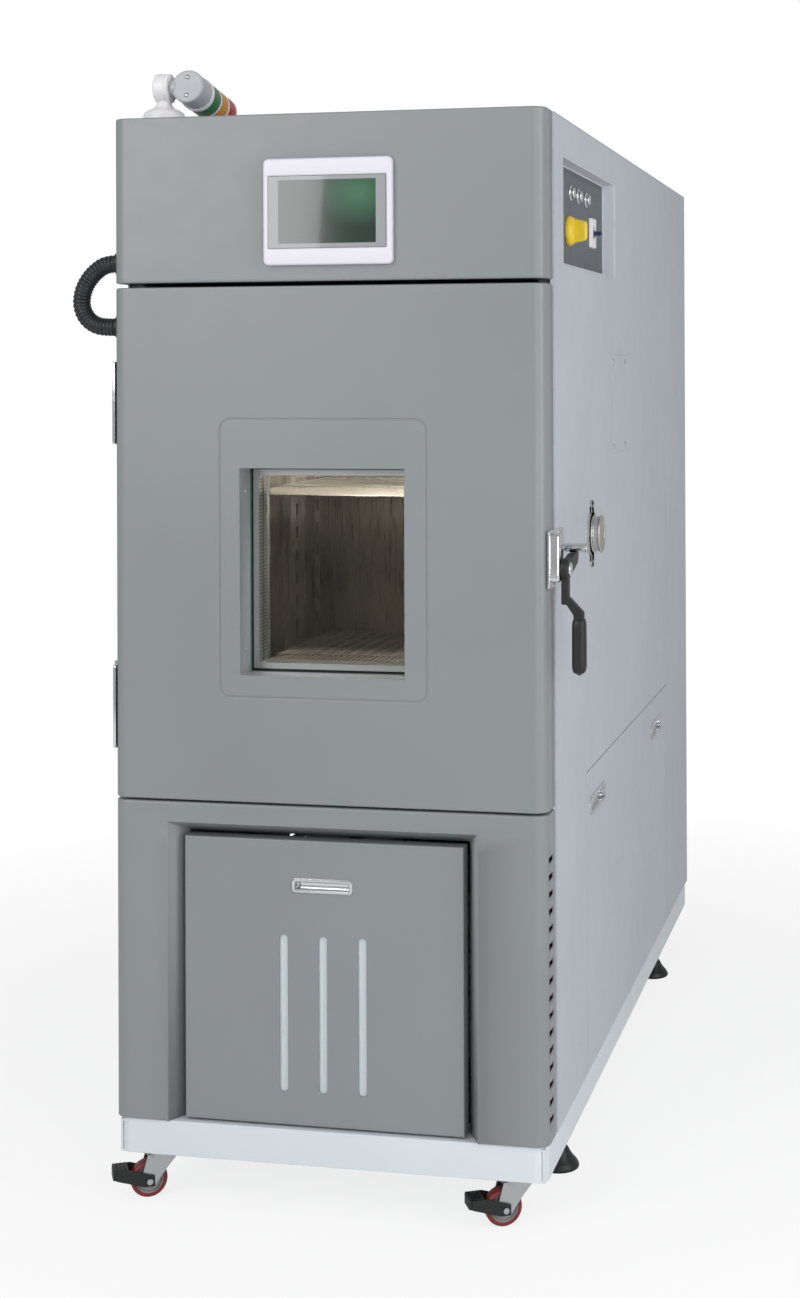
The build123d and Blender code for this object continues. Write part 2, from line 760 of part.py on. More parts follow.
def lock_paddle(centre):
    """Pull paddle lying in its dish, pinned at the front end."""
    length = lock_length - 2 * lock_rim - 3.0 - 2 * paddle_clearance
    height = lock_height - 2 * lock_rim - 3.0 - 2 * paddle_clearance
    x0 = half_width - lock_sink + paddle_clearance
    plate = Pos(x0, centre, lock_z) * extrude(Plane.YZ * SlotOverall(length, height), 6.0)
    grip_y = (centre + 20.0, centre + 50.0)
    grip = block((x0 + 2.0, half_width + 20.0), grip_y, grown((lock_z,) * 2, height))
    plate -= grip
    key = rod_x((x0 + 5.0, x0 + 8.5), centre - length / 2 + height, lock_z, height / 2 - 1.5)
    return [plate + key]


# Door
door_z = (door_bottom, door_top)
window_span_x = (window_x - window_width / 2, window_x + window_width / 2)
window_span_z = (window_z - window_height / 2, window_z + window_height / 2)
groove_x = (window_span_x[0] - 30.0, window_span_x[1] + 31.0)
groove_z = (window_span_z[0] - 30.5, window_span_z[1] + 67.0)
groove_width = 3.0
groove_depth = 1.2
sleeve_wall = 2.0
plug_half = chamber_half - plug_clearance
plug_z = (chamber_floor + plug_clearance, chamber_top - plug_clearance)
gasket_x = half_width - 28.0
gasket_z = (door_bottom + 22.0, door_top - 20.0)
gasket_border = 20.0


def door_shell():
    """Outer door pressing with the window opening and a rolled line around it."""
    shell = front_shell(door_z, skin)
    ring = rounded_plate(groove_x, (-1, groove_depth), groove_z, 16.0)
    ring -= rounded_plate(
        grown(groove_x, -groove_width), (-2, groove_depth + 1), grown(groove_z, -groove_width), 13.0
    )
    shell -= ring
    shell -= block(window_span_x, (-1, 2 * skin), window_span_z)
    return [shell, hose_gland(hose_route[-1][1])]


def door_liner():
    """Inner door pan: a back sheet and the plug that enters the chamber."""
    back = (front_depth - sheet, front_depth)
    inside = grown((-half_width, half_width), -skin - seam)
    pan = block(inside, back, grown(door_z, -skin - seam))
    plug_y = (front_depth - sheet, front_depth + plug_depth)
    pan += block((-plug_half, plug_half), plug_y, plug_z)
    hollow_y = (front_depth - 10.0, plug_y[1] - sheet)
    pan -= block(grown((-plug_half, plug_half), -sheet), hollow_y, grown(plug_z, -sheet))
    sleeve = sleeve_wall + seam
    cut_y = (front_depth - 10.0, plug_y[1] + 1)
    pan -= block(grown(window_span_x, sleeve), cut_y, grown(window_span_z, sleeve))
    return [pan]


panes_y = (window_depth, window_depth + 3 * pane + 2 * pane_gap)


def window_frame():
    """Sleeve through the door with a retaining frame behind the glass."""
    y = (skin, front_depth + plug_depth)
    sleeve = block(grown(window_span_x, sleeve_wall), y, grown(window_span_z, sleeve_wall))
    sleeve -= block(window_span_x, (y[0] - 1, panes_y[1] + seam), window_span_z)
    sleeve -= block(grown(window_span_x, -9.0), (y[0], y[1] + 1), grown(window_span_z, -9.0))
    return [sleeve]


def window_panes():
    """Three panes with two spacer frames between them."""
    x = grown(window_span_x, -seam)
    z = grown(window_span_z, -seam)
    solids = []
    for i in range(3):
        y0 = panes_y[0] + i * (pane + pane_gap)
        solids.append(block(x, (y0, y0 + pane), z))
        if i < 2:
            spacer_y = (y0 + pane, y0 + pane + pane_gap)
            solids.append(upright_frame(grown(x, -3.0), spacer_y, grown(z, -3.0), 8.0))
    return solids


def door_gasket():
    """Hollow seal around the door plug."""
    x = (-gasket_x, gasket_x)
    y = (front_depth, body_front - seam)
    seal = upright_frame(x, y, gasket_z, gasket_border)
    wall = 4.0
    hollow_y = (y[0] + 3.0, y[1] - 3.0)
    core = upright_frame(grown(x, -wall), hollow_y, grown(gasket_z, -wall), gasket_border - 2 * wall)
    return [seal - core]


# Hinges: door leaf carries the middle knuckle and the pin
leaf = 4.0
pin_radius = 4.0
knuckle_gap = 0.4


def hinge_leaves(on_door):
    solids = []
    third = hinge_height / 3
    for z0 in hinge_levels:
        bottom = z0 - hinge_height / 2
        if on_door:
            spans = [(bottom + third + knuckle_gap, bottom + 2 * third - knuckle_gap)]
            plate_y = (8.0, hinge_y - knuckle_radius - knuckle_gap)
            body = (bottom, bottom + hinge_height)
        else:
            spans = [(bottom, bottom + third), (bottom + 2 * third, bottom + hinge_height)]
            plate_y = (hinge_y + knuckle_radius + knuckle_gap, hinge_y + 46.0)
            body = (bottom, bottom + hinge_height)
        hinge = block((-half_width - leaf, -half_width), plate_y, body)
        for span in spans:
            knuckle = rod_z(hinge_x, hinge_y, span, knuckle_radius)
            arm_y = sorted((hinge_y, plate_y[1] if on_door else plate_y[0]))
            arm_y = (min(arm_y) - 4.0, max(arm_y)) if on_door else (min(arm_y), max(arm_y) + 4.0)
            arm_x = (hinge_x - knuckle_radius + 4.0, -half_width - (0.5 if on_door else 0.0))
            knuckle += block(arm_x, arm_y, span)
            if not on_door:
                knuckle -= rod_z(hinge_x, hinge_y, grown(span, 1), pin_radius + seam)
            hinge += knuckle
        if on_door:
            hinge += rod_z(hinge_x, hinge_y, (bottom + 1, bottom + hinge_height - 1), pin_radius)
        solids.append(hinge)
    return solids


# Latch on the right of the door and its roller on the cabinet
pivot_y = 26.0
pivot_z = door_middle - 29.0
latch_z = (pivot_z - 25.0, pivot_z + 51.0)
latch_y = (6.0, 44.0)
roller_y = 80.0
roller_z = pivot_z + 23.0
roller_radius = 6.0
roller_tip = half_width + 38.0
lever_x = (half_width + 15.0, half_width + 25.0)
nose_clearance = 0.8


def latch_strike():
    """Plate, stud and roller that the lever's nose pulls against."""
    plate = block((half_width, half_width + 3.0), (66.0, 102.0), (roller_z - 26.0, roller_z + 26.0))
    roller = rod_x((half_width + 2.0, roller_tip), roller_y, roller_z, 3.5)
    roller += rod_x((half_width + 8.0, roller_tip), roller_y, roller_z, roller_radius)
    roller += rod_x((roller_tip, roller_tip + 2.0), roller_y, roller_z, roller_radius + 1.5)
    screw_x = (half_width + 3.0, half_width + 3.0 + screw_height)
    screws = [rod_x(screw_x, roller_y + 4.0, roller_z + side * 18.0, screw_radius) for side in (-1, 1)]
    return [plate + roller, *screws]


def latch_base():
    """Mounting block and pivot boss on the edge of the door."""
    plate = block((half_width, half_width + 3.0), latch_y, latch_z)
    body_z = (latch_z[0] + 8.0, latch_z[1] - 4.0)
    body = block((half_width, lever_x[0] - seam), grown(latch_y, -4.0), body_z)
    body = fillet(body.edges().filter_by(Axis.X), 6.0)
    pin = rod_x((lever_x[0] - 1.0, lever_x[1] + 4.0), pivot_y, pivot_z, 5.0)
    head = rod_x((lever_x[1] + seam, lever_x[1] + 4.0), pivot_y, pivot_z, 9.0)
    return [plate + body + pin + head]


grip_x = (half_width + 29.0, half_width + 47.0)
grip_z = (pivot_z - 139.0, pivot_z - 60.0)
grip_width = 24.0


def latch_lever():
    """Cranked lever: hub, nose under the roller, neck and the moulded grip."""
    nose_top = roller_z - roller_radius - nose_clearance
    hub = rod_x(lever_x, pivot_y, pivot_z, 14.0)
    outline = [
        (pivot_y + 6.0, pivot_z - 12.0),
        (roller_y + 12.0, nose_top - 14.0),
        (roller_y + 14.0, nose_top),
        (roller_y - 12.0, nose_top),
        (pivot_y + 8.0, pivot_z + 11.0),
    ]
    nose = Plane.YZ.offset(lever_x[0]) * make_face(Polyline(*outline, close=True))
    arm = hub + extrude(nose, lever_x[1] - lever_x[0])
    neck_y = grown((pivot_y,) * 2, 7.0)
    arm += block(lever_x, neck_y, (grip_z[1] + 14.0, pivot_z))
    arm -= rod_x(grown(lever_x, 1), pivot_y, pivot_z, 5.0 + seam)
    foot = Plane.XZ.offset(-neck_y[1]) * make_face(
        Polyline(
            (lever_x[0], grip_z[1] + 26.0),
            (lever_x[1], grip_z[1] + 26.0),
            (grip_x[1] - 2.0, grip_z[1] + 2.0),
            (grip_x[1] - 2.0, grip_z[1] - 10.0),
            (grip_x[0] + 2.0, grip_z[1] - 10.0),
            (grip_x[0] + 2.0, grip_z[1]),
            close=True,
        )
    )
    arm += extrude(foot, neck_y[1] - neck_y[0])
    top = Plane.XY.offset(grip_z[1]) * Pos(sum(grip_x) / 2, pivot_y) * RectangleRounded(
        grip_x[1] - grip_x[0], grip_width - 4.0, 6.0
    )
    bottom = Plane.XY.offset(grip_z[0]) * Pos(sum(grip_x) / 2, pivot_y) * RectangleRounded(
        grip_x[1] - grip_x[0], grip_width, 8.0
    )
    grip = loft([bottom.face(), top.face()])
    return [arm + grip]


# Signal lamp folded down on the roof
lamp_x = -half_width + 38.0
lamp_y = 93.0
lamp_base_radius = 31.0
lamp_pivot = 52.0
drum_radius = 20.5
drum_x = (lamp_x - 11.0, lamp_x + 11.0)
lamp_radius = 23.5
lamp_fold = 9.0           # degrees below level at rest
lamp_axis_x = lamp_x + 38.0
lamp_body = 36.0
lamp_ring = 9.0
lens_height = 27.0
lens_gap = 4.0
lens_count = 3
lamp_lead = 10.0          # end cap ahead of the pivot


def lamp_base():
    """Cup, cone and the fixed half of the knuckle."""
    z0 = roof_level
    profile = [
        (0, 0),
        (lamp_base_radius, 0),
        (lamp_base_radius, 16.0),
        (lamp_base_radius - 4.0, 21.0),
        (15.0, 23.0),
        (9.0, 34.0),
        (9.0, 40.0),
        (0, 40.0),
    ]
    base = Pos(lamp_x, lamp_y, z0) * turned(profile)
    base += rod_x(drum_x, lamp_y, z0 + lamp_pivot, drum_radius)
    base -= rod_x((drum_x[1] - 12.0, drum_x[1] + 1), lamp_y, z0 + lamp_pivot, 8.0 + seam)
    return [base]


def along_lamp(shape):
    """Carries a lamp piece, drawn upright at the pivot, to its folded place."""
    place = Pos(lamp_axis_x, lamp_y, roof_level + lamp_pivot)
    return place * Rot(-90 - lamp_fold, 0, 0) * shape


def lamp_housing():
    """Body with its end cap, the pivot shaft, tier rings, centre tube and top cap."""
    profile = [
        (0, -lamp_lead),
        (lamp_radius - 2.0, -lamp_lead),
        (lamp_radius, -lamp_lead + 2.0),
        (lamp_radius, lamp_body - lamp_lead),
        (0, lamp_body - lamp_lead),
    ]
    solids = turned(profile)
    z = lamp_body - lamp_lead
    solids += rod_z(0, 0, (z, z + lamp_ring), lamp_radius + 1.0)
    z += lamp_ring
    for i in range(lens_count):
        solids += rod_z(0, 0, (z - 1, z + lens_height + 1), 6.0)
        z += lens_height
        solids += rod_z(0, 0, (z, z + lens_gap), lamp_radius)
        z += lens_gap
    solids += rod_z(0, 0, (z - 1, z + 4.0), lamp_radius - 3.0)
    head = along_lamp(solids)
    pivot_z_level = roof_level + lamp_pivot
    shaft = rod_x((drum_x[1] - 11.0, lamp_axis_x - lamp_radius + 8.0), lamp_y, pivot_z_level, 8.0)
    collar = rod_x((drum_x[1] + seam, lamp_axis_x - lamp_radius + 6.0), lamp_y, pivot_z_level, 12.0)
    screws = [
        along_lamp(rod_z(0, side * 13.0, (-lamp_lead - screw_height, -lamp_lead), screw_radius))
        for side in (-1, 1)
    ]
    return [head + shaft + collar, *screws]


def lamp_lenses():
    """One ribbed tube for each colour."""
    solids = []
    z = lamp_body - lamp_lead + lamp_ring
    for i in range(lens_count):
        span = (z + 0.2, z + lens_height - 0.2)
        tube = rod_z(0, 0, span, lamp_radius) - rod_z(0, 0, grown(span, 1), lamp_radius - 2.5)
        solids.append(along_lamp(tube))
        z += lens_height + lens_gap
    return solids


# Flexible cable hose from the header to the door
hose_radius = 12.2
hose_y = 30.0
hose_shape = (
    (5.3, 34.5),
    (20.0, 34.5),
    (35.0, 26.0),
    (48.5, 12.0),
    (56.5, -5.0),
    (58.0, -23.0),
    (51.0, -39.5),
    (37.0, -50.0),
    (20.5, -52.5),
    (5.3, -52.5),
)                         # distance from the side and height over the door
hose_route = [(out, door_top + rise) for out, rise in hose_shape]


def cable_hose():
    points = [Vector(-half_width - out, hose_y, z) for out, z in hose_route]
    radii = []
    for before, here, after in zip(points, points[1:], points[2:]):
        turn = math.radians((here - before).get_angle(after - here))
        shorter = min((here - before).length, (after - here).length)
        radii.append(0.45 * shorter / math.tan(turn / 2))
    print("hose radii", [round(r, 1) for r in radii])
    path = FilletPolyline(*points, radius=radii)
    start = Plane(origin=points[0], z_dir=points[1] - points[0])
    tube = sweep(start * Circle(hose_radius), path=path)
    print("hose length", round(path.length, 1), "volume ratio",
          round(tube.volume / (math.pi * hose_radius**2 * path.length), 4))
    return [tube]


# Pull-out water drawer
runner_front = 50.0
runner_overlap = 50.0     # length still held when the drawer is fully out
drawer_rear = runner_front + drawer_travel + runner_overlap
tray_wall = 1.5
tray_floor = 8.0
pan_height = 60.0
slot_x = (-62.6, -8.1, 46.5)
slot_z = (drawer_bottom + 44.0, drawer_top - 126.0)
slot_width = 12.0
pull_x = (-50.5, 33.5)
pull_z = (drawer_top - 69.5, drawer_top - 50.5)
pull_sink = 12.0
slide_height = 24.0
slide_thickness = 3.0
tank_space = (4.0, 40.0)  # drawer front to tank, and tank to the end of the tray
tank_head = 95.0
tank_wall = 3.0
neck_radius = 26.0
neck_height = 16.0
tank_cap = (31.0, 14.0)
runner_y = (runner_front, drawer_rear + 30.0)
tray_half = drawer_width / 2 - 22.0
slide_z = (drawer_bottom + 12.0, drawer_bottom + 12.0 + slide_height)


def drawer_front():
    """Folded front panel with gauge slots and a sunk pull, and the tray behind it."""
    x = grown((drawer_x, drawer_x), drawer_width / 2)
    y = (drawer_front_y, drawer_front_y + drawer_thickness)
    z = (drawer_bottom, drawer_top)
    panel = block(x, y, z)
    panel = fillet(panel.faces().sort_by(Axis.Y)[0].edges(), 2.0)
    panel -= block(grown(x, -skin), (y[0] + skin, y[1] + 1), grown(z, -skin))
    through = (0, y[0] + 2 * skin)
    for centre in slot_x:
        half = slot_width / 2
        panel -= rounded_plate(grown((centre, centre), half), through, slot_z, half - 0.1)
    panel -= rounded_plate(grown(pull_x, -3.0), through, grown(pull_z, -3.0), 3.0)
    tray_x = grown((drawer_x, drawer_x), tray_half)
    tray_z = (drawer_bottom + tray_floor - tray_wall, drawer_bottom + pan_height)
    tray_y = (y[0] + skin, drawer_rear)
    tray = block(tray_x, tray_y, tray_z)
    hollow_y = (tray_y[0] - 1, drawer_rear - tray_wall)
    tray -= block(grown(tray_x, -tray_wall), hollow_y, (tray_z[0] + tray_wall, tray_z[1] + 1))
    for side in (-1, 1):
        face = drawer_x + side * tray_half
        slide_x = sorted((face - side * 0.5, face + side * slide_thickness))
        tray += block(slide_x, (y[1] + 6.0, drawer_rear), slide_z)
    lip = y[0] - 1.2
    pull = rounded_plate(pull_x, (lip, y[0]), pull_z, 5.0)
    rim = -3.0 - seam
    pull += rounded_plate(grown(pull_x, rim), (lip, y[0] + pull_sink), grown(pull_z, rim), 3.0)
    dish_y = (lip - 4, y[0] + pull_sink - 1.5)
    pull -= rounded_plate(grown(pull_x, -5.0), dish_y, grown(pull_z, -5.0), 2.0)
    return [panel + tray, pull]


def water_tank():
    """Moulded tank standing in the tray, with a filler neck and screw cap."""
    x = grown((drawer_x, drawer_x), tray_half - tray_wall - 2.0)
    y = (drawer_front_y + drawer_thickness + tank_space[0], drawer_rear - tank_space[1])
    z = (drawer_bottom + tray_floor + seam, drawer_top - tank_head)
    tank = block(x, y, z)
    tank = fillet(tank.edges().filter_by(Axis.Z), 14.0)
    hollow = block(grown(x, -tank_wall), grown(y, -tank_wall), grown(z, -tank_wall))
    neck = (drawer_x - tray_half / 2, y[0] + 80.0)
    top = z[1] + neck_height
    tank = tank - hollow + rod_z(*neck, (z[1] - 1, top), neck_radius)
    cap = rod_z(*neck, (top + seam, top + tank_cap[1]), tank_cap[0])
    return [tank, cap]


def drawer_runners():
    """Channels on the floor pan that hold the drawer's slides."""
    solids = []
    for side in (-1, 1):
        near = drawer_x + side * (tray_half + slide_thickness + seam)
        lip = drawer_x + side * (tray_half + 0.8)
        far = near + side * 4.0
        channel = block(sorted((near, far)), runner_y, grown(slide_z, 2.5))
        channel += block(sorted((lip, far)), runner_y, (slide_z[1] + 0.5, slide_z[1] + 2.5))
        channel += block(sorted((lip, far)), runner_y, (slide_z[0] - 2.5, slide_z[0] - 0.5))
        for y in (runner_y[0] + 30.0, runner_y[1] - 30.0):
            leg_y = grown((y, y), 14.0)
            channel += block(sorted((near, far)), leg_y, (plinth_top, slide_z[0]))
            channel += block(sorted((near, near + side * 26.0)), leg_y, (plinth_top, plinth_top + 2.5))
        solids.append(channel)
    return solids


# Refrigeration unit in the machine space
compressor_x = -110.0
compressor_y = 590.0
compressor_radius = 82.0
receiver_x = 120.0
unit_front = 480.0
unit_half = 220.0
unit_plate = 4.0
condenser_x = (-160.0, 160.0)
condenser_y = (body_rear - 155.0, body_rear - 105.0)
condenser_z = (plinth_top + 33.3, door_bottom - 80.0)
condenser_fan_y = condenser_y[1] + 40.0
condenser_fan_radius = 130.0
fan_centre_z = sum(condenser_z) / 2
shroud_depth = 62.0


def refrigeration_unit():
    """Hermetic compressor, receiver, finned condenser with its shroud and fan motor."""
    floor = plinth_top
    plate_y = (unit_front, condenser_y[1] + 80.0)
    plate = block((-unit_half, unit_half), plate_y, (floor, floor + unit_plate))
    profile = [
        (0, 12.0),
        (compressor_radius - 14.0, 12.0),
        (compressor_radius, 32.0),
        (compressor_radius, 190.0),
        (compressor_radius - 16.0, 222.0),
        (compressor_radius - 48.0, 238.0),
        (0, 242.0),
    ]
    compressor = Pos(compressor_x, compressor_y, floor) * turned(profile)
    hollow_z = (floor + 30.0, floor + 205.0)  # leaves the weight of a real one
    compressor -= rod_z(compressor_x, compressor_y, hollow_z, compressor_radius - 22.0)
    foot_span = (floor + unit_plate, floor + 13.0)
    compressor += block(grown((compressor_x,) * 2, 70.0), grown((compressor_y,) * 2, 22.0), foot_span)
    receiver = Pos(receiver_x, compressor_y + 10.0, floor + unit_plate) * turned(
        [(0, 0), (34.0, 0), (45.0, 14.0), (45.0, 150.0), (30.0, 172.0), (0, 176.0)]
    )
    receiver -= Pos(receiver_x, compressor_y + 10.0, floor + unit_plate) * turned(
        [(0, 4.0), (31.0, 4.0), (41.0, 16.0), (41.0, 148.0), (27.0, 168.0), (0, 171.0)]
    )
    core = block(condenser_x, condenser_y, condenser_z)
    hollow_y = (condenser_y[0] + 26.0, condenser_y[1] - 4.0)
    core -= block(grown(condenser_x, -6.0), hollow_y, grown(condenser_z, -6.0))
    fin_y = (condenser_y[0] - 1, condenser_y[0] + 22.0)
    for i in range(12):
        x = condenser_x[0] + 9.0 + i * 26.0
        core -= block((x, x + 16.0), fin_y, grown(condenser_z, -10.0))
    shroud_y = (condenser_y[1], condenser_y[1] + shroud_depth)
    shroud = block(condenser_x, shroud_y, condenser_z)
    inside_y = (shroud_y[0] - 1, shroud_y[1] - 2.0)
    shroud -= block(grown(condenser_x, -2.0), inside_y, grown(condenser_z, -2.0))
    shroud -= rod_y(0, (shroud_y[1] - 5.0, shroud_y[1] + 1), fan_centre_z, condenser_fan_radius + 6.0)
    motor = rod_y(0, (condenser_y[1], condenser_y[1] + 22.0), fan_centre_z, 38.0)
    motor -= rod_y(0, (condenser_y[1] + 2.0, condenser_y[1] + 30.0), fan_centre_z, 6.0 + seam)
    legs = Part()
    leg_z = (floor + unit_plate, condenser_z[0])
    for x in grown(condenser_x, -20.0):
        legs += block(grown((x, x), 12.0), (condenser_y[0], shroud_y[1]), leg_z)
    return [plate, compressor, receiver, core + shroud + motor + legs]


def condenser_fan():
    """Five swept blades on a hub that turns on the motor's shaft."""
    y0 = condenser_fan_y - 14.0
    fan = rod_y(0, (y0, y0 + 28.0), fan_centre_z, 34.0)
    fan += rod_y(0, (condenser_y[1] + 3.0, y0 + 1), fan_centre_z, 6.0)
    for i in range(5):
        blade = Pos(0, 78.0) * Rot(0, 28, 0) * Box(56.0, 100.0, 2.5)
        blade = Rot(0, 0, 72.0 * i) * blade
        fan += Pos(0, condenser_fan_y, fan_centre_z) * Rot(90, 0, 0) * blade
    cut = rod_y(0, (y0 - 30.0, y0 + 60.0), fan_centre_z, condenser_fan_radius)
    return [fan & cut]


# Casters and levelling feet
casters = {
    "front_left": (-kingpin_x, kingpin_front, 208.0),
    "front_right": (kingpin_x, kingpin_front, 208.0),
    "rear_left": (-kingpin_x, kingpin_rear, 25.0),
    "rear_right": (kingpin_x, kingpin_rear, 155.0),
}
axle_radius = 4.0
hub_half = 11.5
leg_wall = 2.5
side_play = 0.5
crown_z = (57.0, plinth_bottom - caster_plate - seam)
pedal_x = (trail + wheel_radius + 3.0, trail + wheel_radius + 24.0)
pedal_z = (30.0, 42.0)


def at_caster(name, shape):
    x, y, angle = casters[name]
    return Pos(x, y, 0) * Rot(0, 0, angle) * shape


def caster_fork(name):
    """Swivel head, two tapered legs and the axle."""
    head = rod_z(0, 0, crown_z, 23.0)
    inner = hub_half + side_play
    side_view = make_face(
        Polyline(
            (-20.0, crown_z[0] + 3.0),
            (22.0, crown_z[0] + 3.0),
            (trail + 10.0, wheel_radius + 8.0),
            (trail + 8.0, wheel_radius - 7.0),
            (trail - 7.0, wheel_radius - 7.0),
            (-4.0, crown_z[0] - 16.0),
            close=True,
        )
    )
    fork = head + block((-20.0, 22.0), grown((0, 0), inner + leg_wall), (crown_z[0], crown_z[0] + 3.0))
    for y in (-inner - leg_wall, inner):
        fork += Pos(0, y + leg_wall, 0) * extrude(Plane.XZ * side_view, leg_wall)
    fork += rod_y(trail, grown((0, 0), inner + leg_wall + 5.0), wheel_radius, axle_radius)
    return [at_caster(name, fork)]


def caster_wheel(name):
    """Tyre on a spoked hub, drawn about the axle."""
    tyre = turned(
        [
            (19.0, -wheel_width / 2),
            (wheel_radius - 3.0, -wheel_width / 2),
            (wheel_radius, -wheel_width / 2 + 4.0),
            (wheel_radius, wheel_width / 2 - 4.0),
            (wheel_radius - 3.0, wheel_width / 2),
            (19.0, wheel_width / 2),
        ]
    )
    hub = turned(
        [
            (axle_radius + seam, -hub_half),
            (8.0, -hub_half),
            (9.0, -wheel_width / 2 + 4.0),
            (16.5, -wheel_width / 2 + 4.0),
            (19.0, -wheel_width / 2 + 1.0),
            (19.0, wheel_width / 2 - 1.0),
            (16.5, wheel_width / 2 - 4.0),
            (9.0, wheel_width / 2 - 4.0),
            (8.0, hub_half),
            (axle_radius + seam, hub_half),
        ]
    )
    place = Pos(trail, 0, wheel_radius) * Rot(90, 0, 0)
    return [at_caster(name, place * tyre), at_caster(name, place * hub)]


def brake_pedal(name):
    """Foot plate with grip ribs and two arms that hang on the axle."""
    plate = block(pedal_x, grown((0, 0), 15.0), pedal_z)
    plate = fillet(plate.edges().filter_by(Axis.Z), 4.0)
    for i in range(4):
        x = pedal_x[0] + 3.0 + i * 5.0
        plate += block((x, x + 2.2), grown((0, 0), 13.0), (pedal_z[1] - 1, pedal_z[1] + 2.0))
    inner = hub_half + side_play + leg_wall + side_play
    for side in (-1, 1):
        y = sorted((side * inner, side * (inner + 2.0)))
        arm = make_face(
            Polyline(
                (trail - 7.0, wheel_radius - 7.0),
                (trail + 7.0, wheel_radius - 7.0),
                (pedal_x[1] - 4.0, pedal_z[0]),
                (pedal_x[1] - 4.0, pedal_z[1]),
                (pedal_x[0] - 4.0, pedal_z[1]),
                (trail - 7.0, wheel_radius + 7.0),
                close=True,
            )
        )
        lever = Pos(0, y[1], 0) * extrude(Plane.XZ * arm, 2.0)
        plate += lever
    plate -= rod_y(trail, (-40.0, 40.0), wheel_radius, axle_radius + seam)
    return [at_caster(name, plate)]


feet = {
    "front_left": (-foot_x, foot_front),
    "front_right": (foot_x, foot_front),
    "rear_left": (-foot_x, foot_rear),
    "rear_right": (foot_x, foot_rear),
}


def levelling_foot(name):
    """Bell-shaped pad, threaded stem and lock nut."""
    x, y = feet[name]
    pad = turned(
        [
            (0, 0),
            (foot_radius - 2.0, 0),
            (foot_radius, 3.0),
            (foot_radius - 2.0, 9.0),
            (foot_radius - 12.0, 20.0),
            (12.0, 30.0),
            (stem_radius, 31.0),
            (stem_radius, plinth_top - 8.0),
            (0, plinth_top - 8.0),
        ]
    )
    nut = extrude(Plane.XY.offset(44.0) * RegularPolygon(10.5, 6), 8.0)
    nut -= rod_z(0, 0, (40.0, 60.0), stem_radius)
    return [Pos(x, y, 0) * pad, Pos(x, y, 0) * nut]


def build():
    """Every named piece in cabinet coordinates."""
    parts["base_frame"] = base_frame()
    parts["left_side_panel"] = left_side_panel()
    parts["right_side_panel"] = right_side_panel()
    parts["roof_panel"] = roof_panel()
    parts["rear_cover"] = rear_cover()
    parts["header_fascia"] = header_fascia()
    parts["lower_fascia"] = lower_fascia()
    parts["screen_bezel"] = screen_bezel()
    parts["touch_screen"] = touch_screen()
    parts["chamber_liner"] = chamber_liner()
    parts["chamber_insulation"] = chamber_insulation()
    parts["air_duct_plate"] = air_duct_plate()
    parts["shelf_uprights"] = shelf_uprights()
    parts["shelves"] = shelves()
    parts["circulation_fan"] = circulation_fan()
    parts["fan_motor"] = fan_motor()
    parts["control_tray"] = control_tray()
    for number, y in enumerate(button_y, 1):
        parts[f"push_button_{number}"] = push_button(y)
    parts["main_switch_knob"] = main_switch_knob()
    parts["breaker_toggle"] = breaker_toggle()
    parts["test_port"] = test_port()
    parts["test_port_cap"] = test_port_cap()
    parts["access_panel"] = access_panel()
    parts["lock_paddle_front"] = lock_paddle(lock_centres[0])
    parts["lock_paddle_rear"] = lock_paddle(lock_centres[1])
    parts["latch_strike"] = latch_strike()
    parts["latch_base"] = latch_base()
    parts["latch_lever"] = latch_lever()
    parts["cabinet_hinge_leaves"] = hinge_leaves(False)
    parts["door_hinge_leaves"] = hinge_leaves(True)
    parts["door_shell"] = door_shell()
    parts["door_liner"] = door_liner()
    parts["window_frame"] = window_frame()
    parts["window_panes"] = window_panes()
    parts["door_gasket"] = door_gasket()
    parts["lamp_base"] = lamp_base()
    parts["lamp_housing"] = lamp_housing()
    parts["lamp_lenses"] = lamp_lenses()
    parts["cable_hose"] = cable_hose()
    parts["drawer_front"] = drawer_front()
    parts["water_tank"] = water_tank()
    parts["drawer_runners"] = drawer_runners()
    parts["refrigeration_unit"] = refrigeration_unit()
    parts["condenser_fan"] = condenser_fan()
    for name in casters:
        parts[f"{name}_caster_fork"] = caster_fork(name)
        parts[f"{name}_caster_wheel"] = caster_wheel(name)
    for name in ("front_left", "front_right"):
        parts[f"{name}_brake_pedal"] = brake_pedal(name)
    for name in feet:
        parts[f"{name}_levelling_foot"] = levelling_foot(name)


def origin_offset():
    """Middle of the underside of everything but the hose."""
    rigid = [solid for name, solids in parts.items() if name != "cable_hose" for solid in solids]
    box = Compound(children=[Compound(list(s.solids())) for s in rigid]).bounding_box()
    return ((box.min.X + box.max.X) / 2, (box.min.Y + box.max.Y) / 2, box.min.Z)


build()
offset = origin_offset()
print("offset", [round(v, 4) for v in offset])
os.makedirs("parts", exist_ok=True)
for name, solids in parts.items():
    pieces = [piece for shape in solids for piece in shape.solids()]
    moved = Pos(-offset[0], -offset[1], -offset[2]) * Compound(pieces)
    export_step(moved, f"parts/{name}.step")
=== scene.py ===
import math
import bmesh
import bpy
import numpy as np
from mathutils import Matrix, Vector


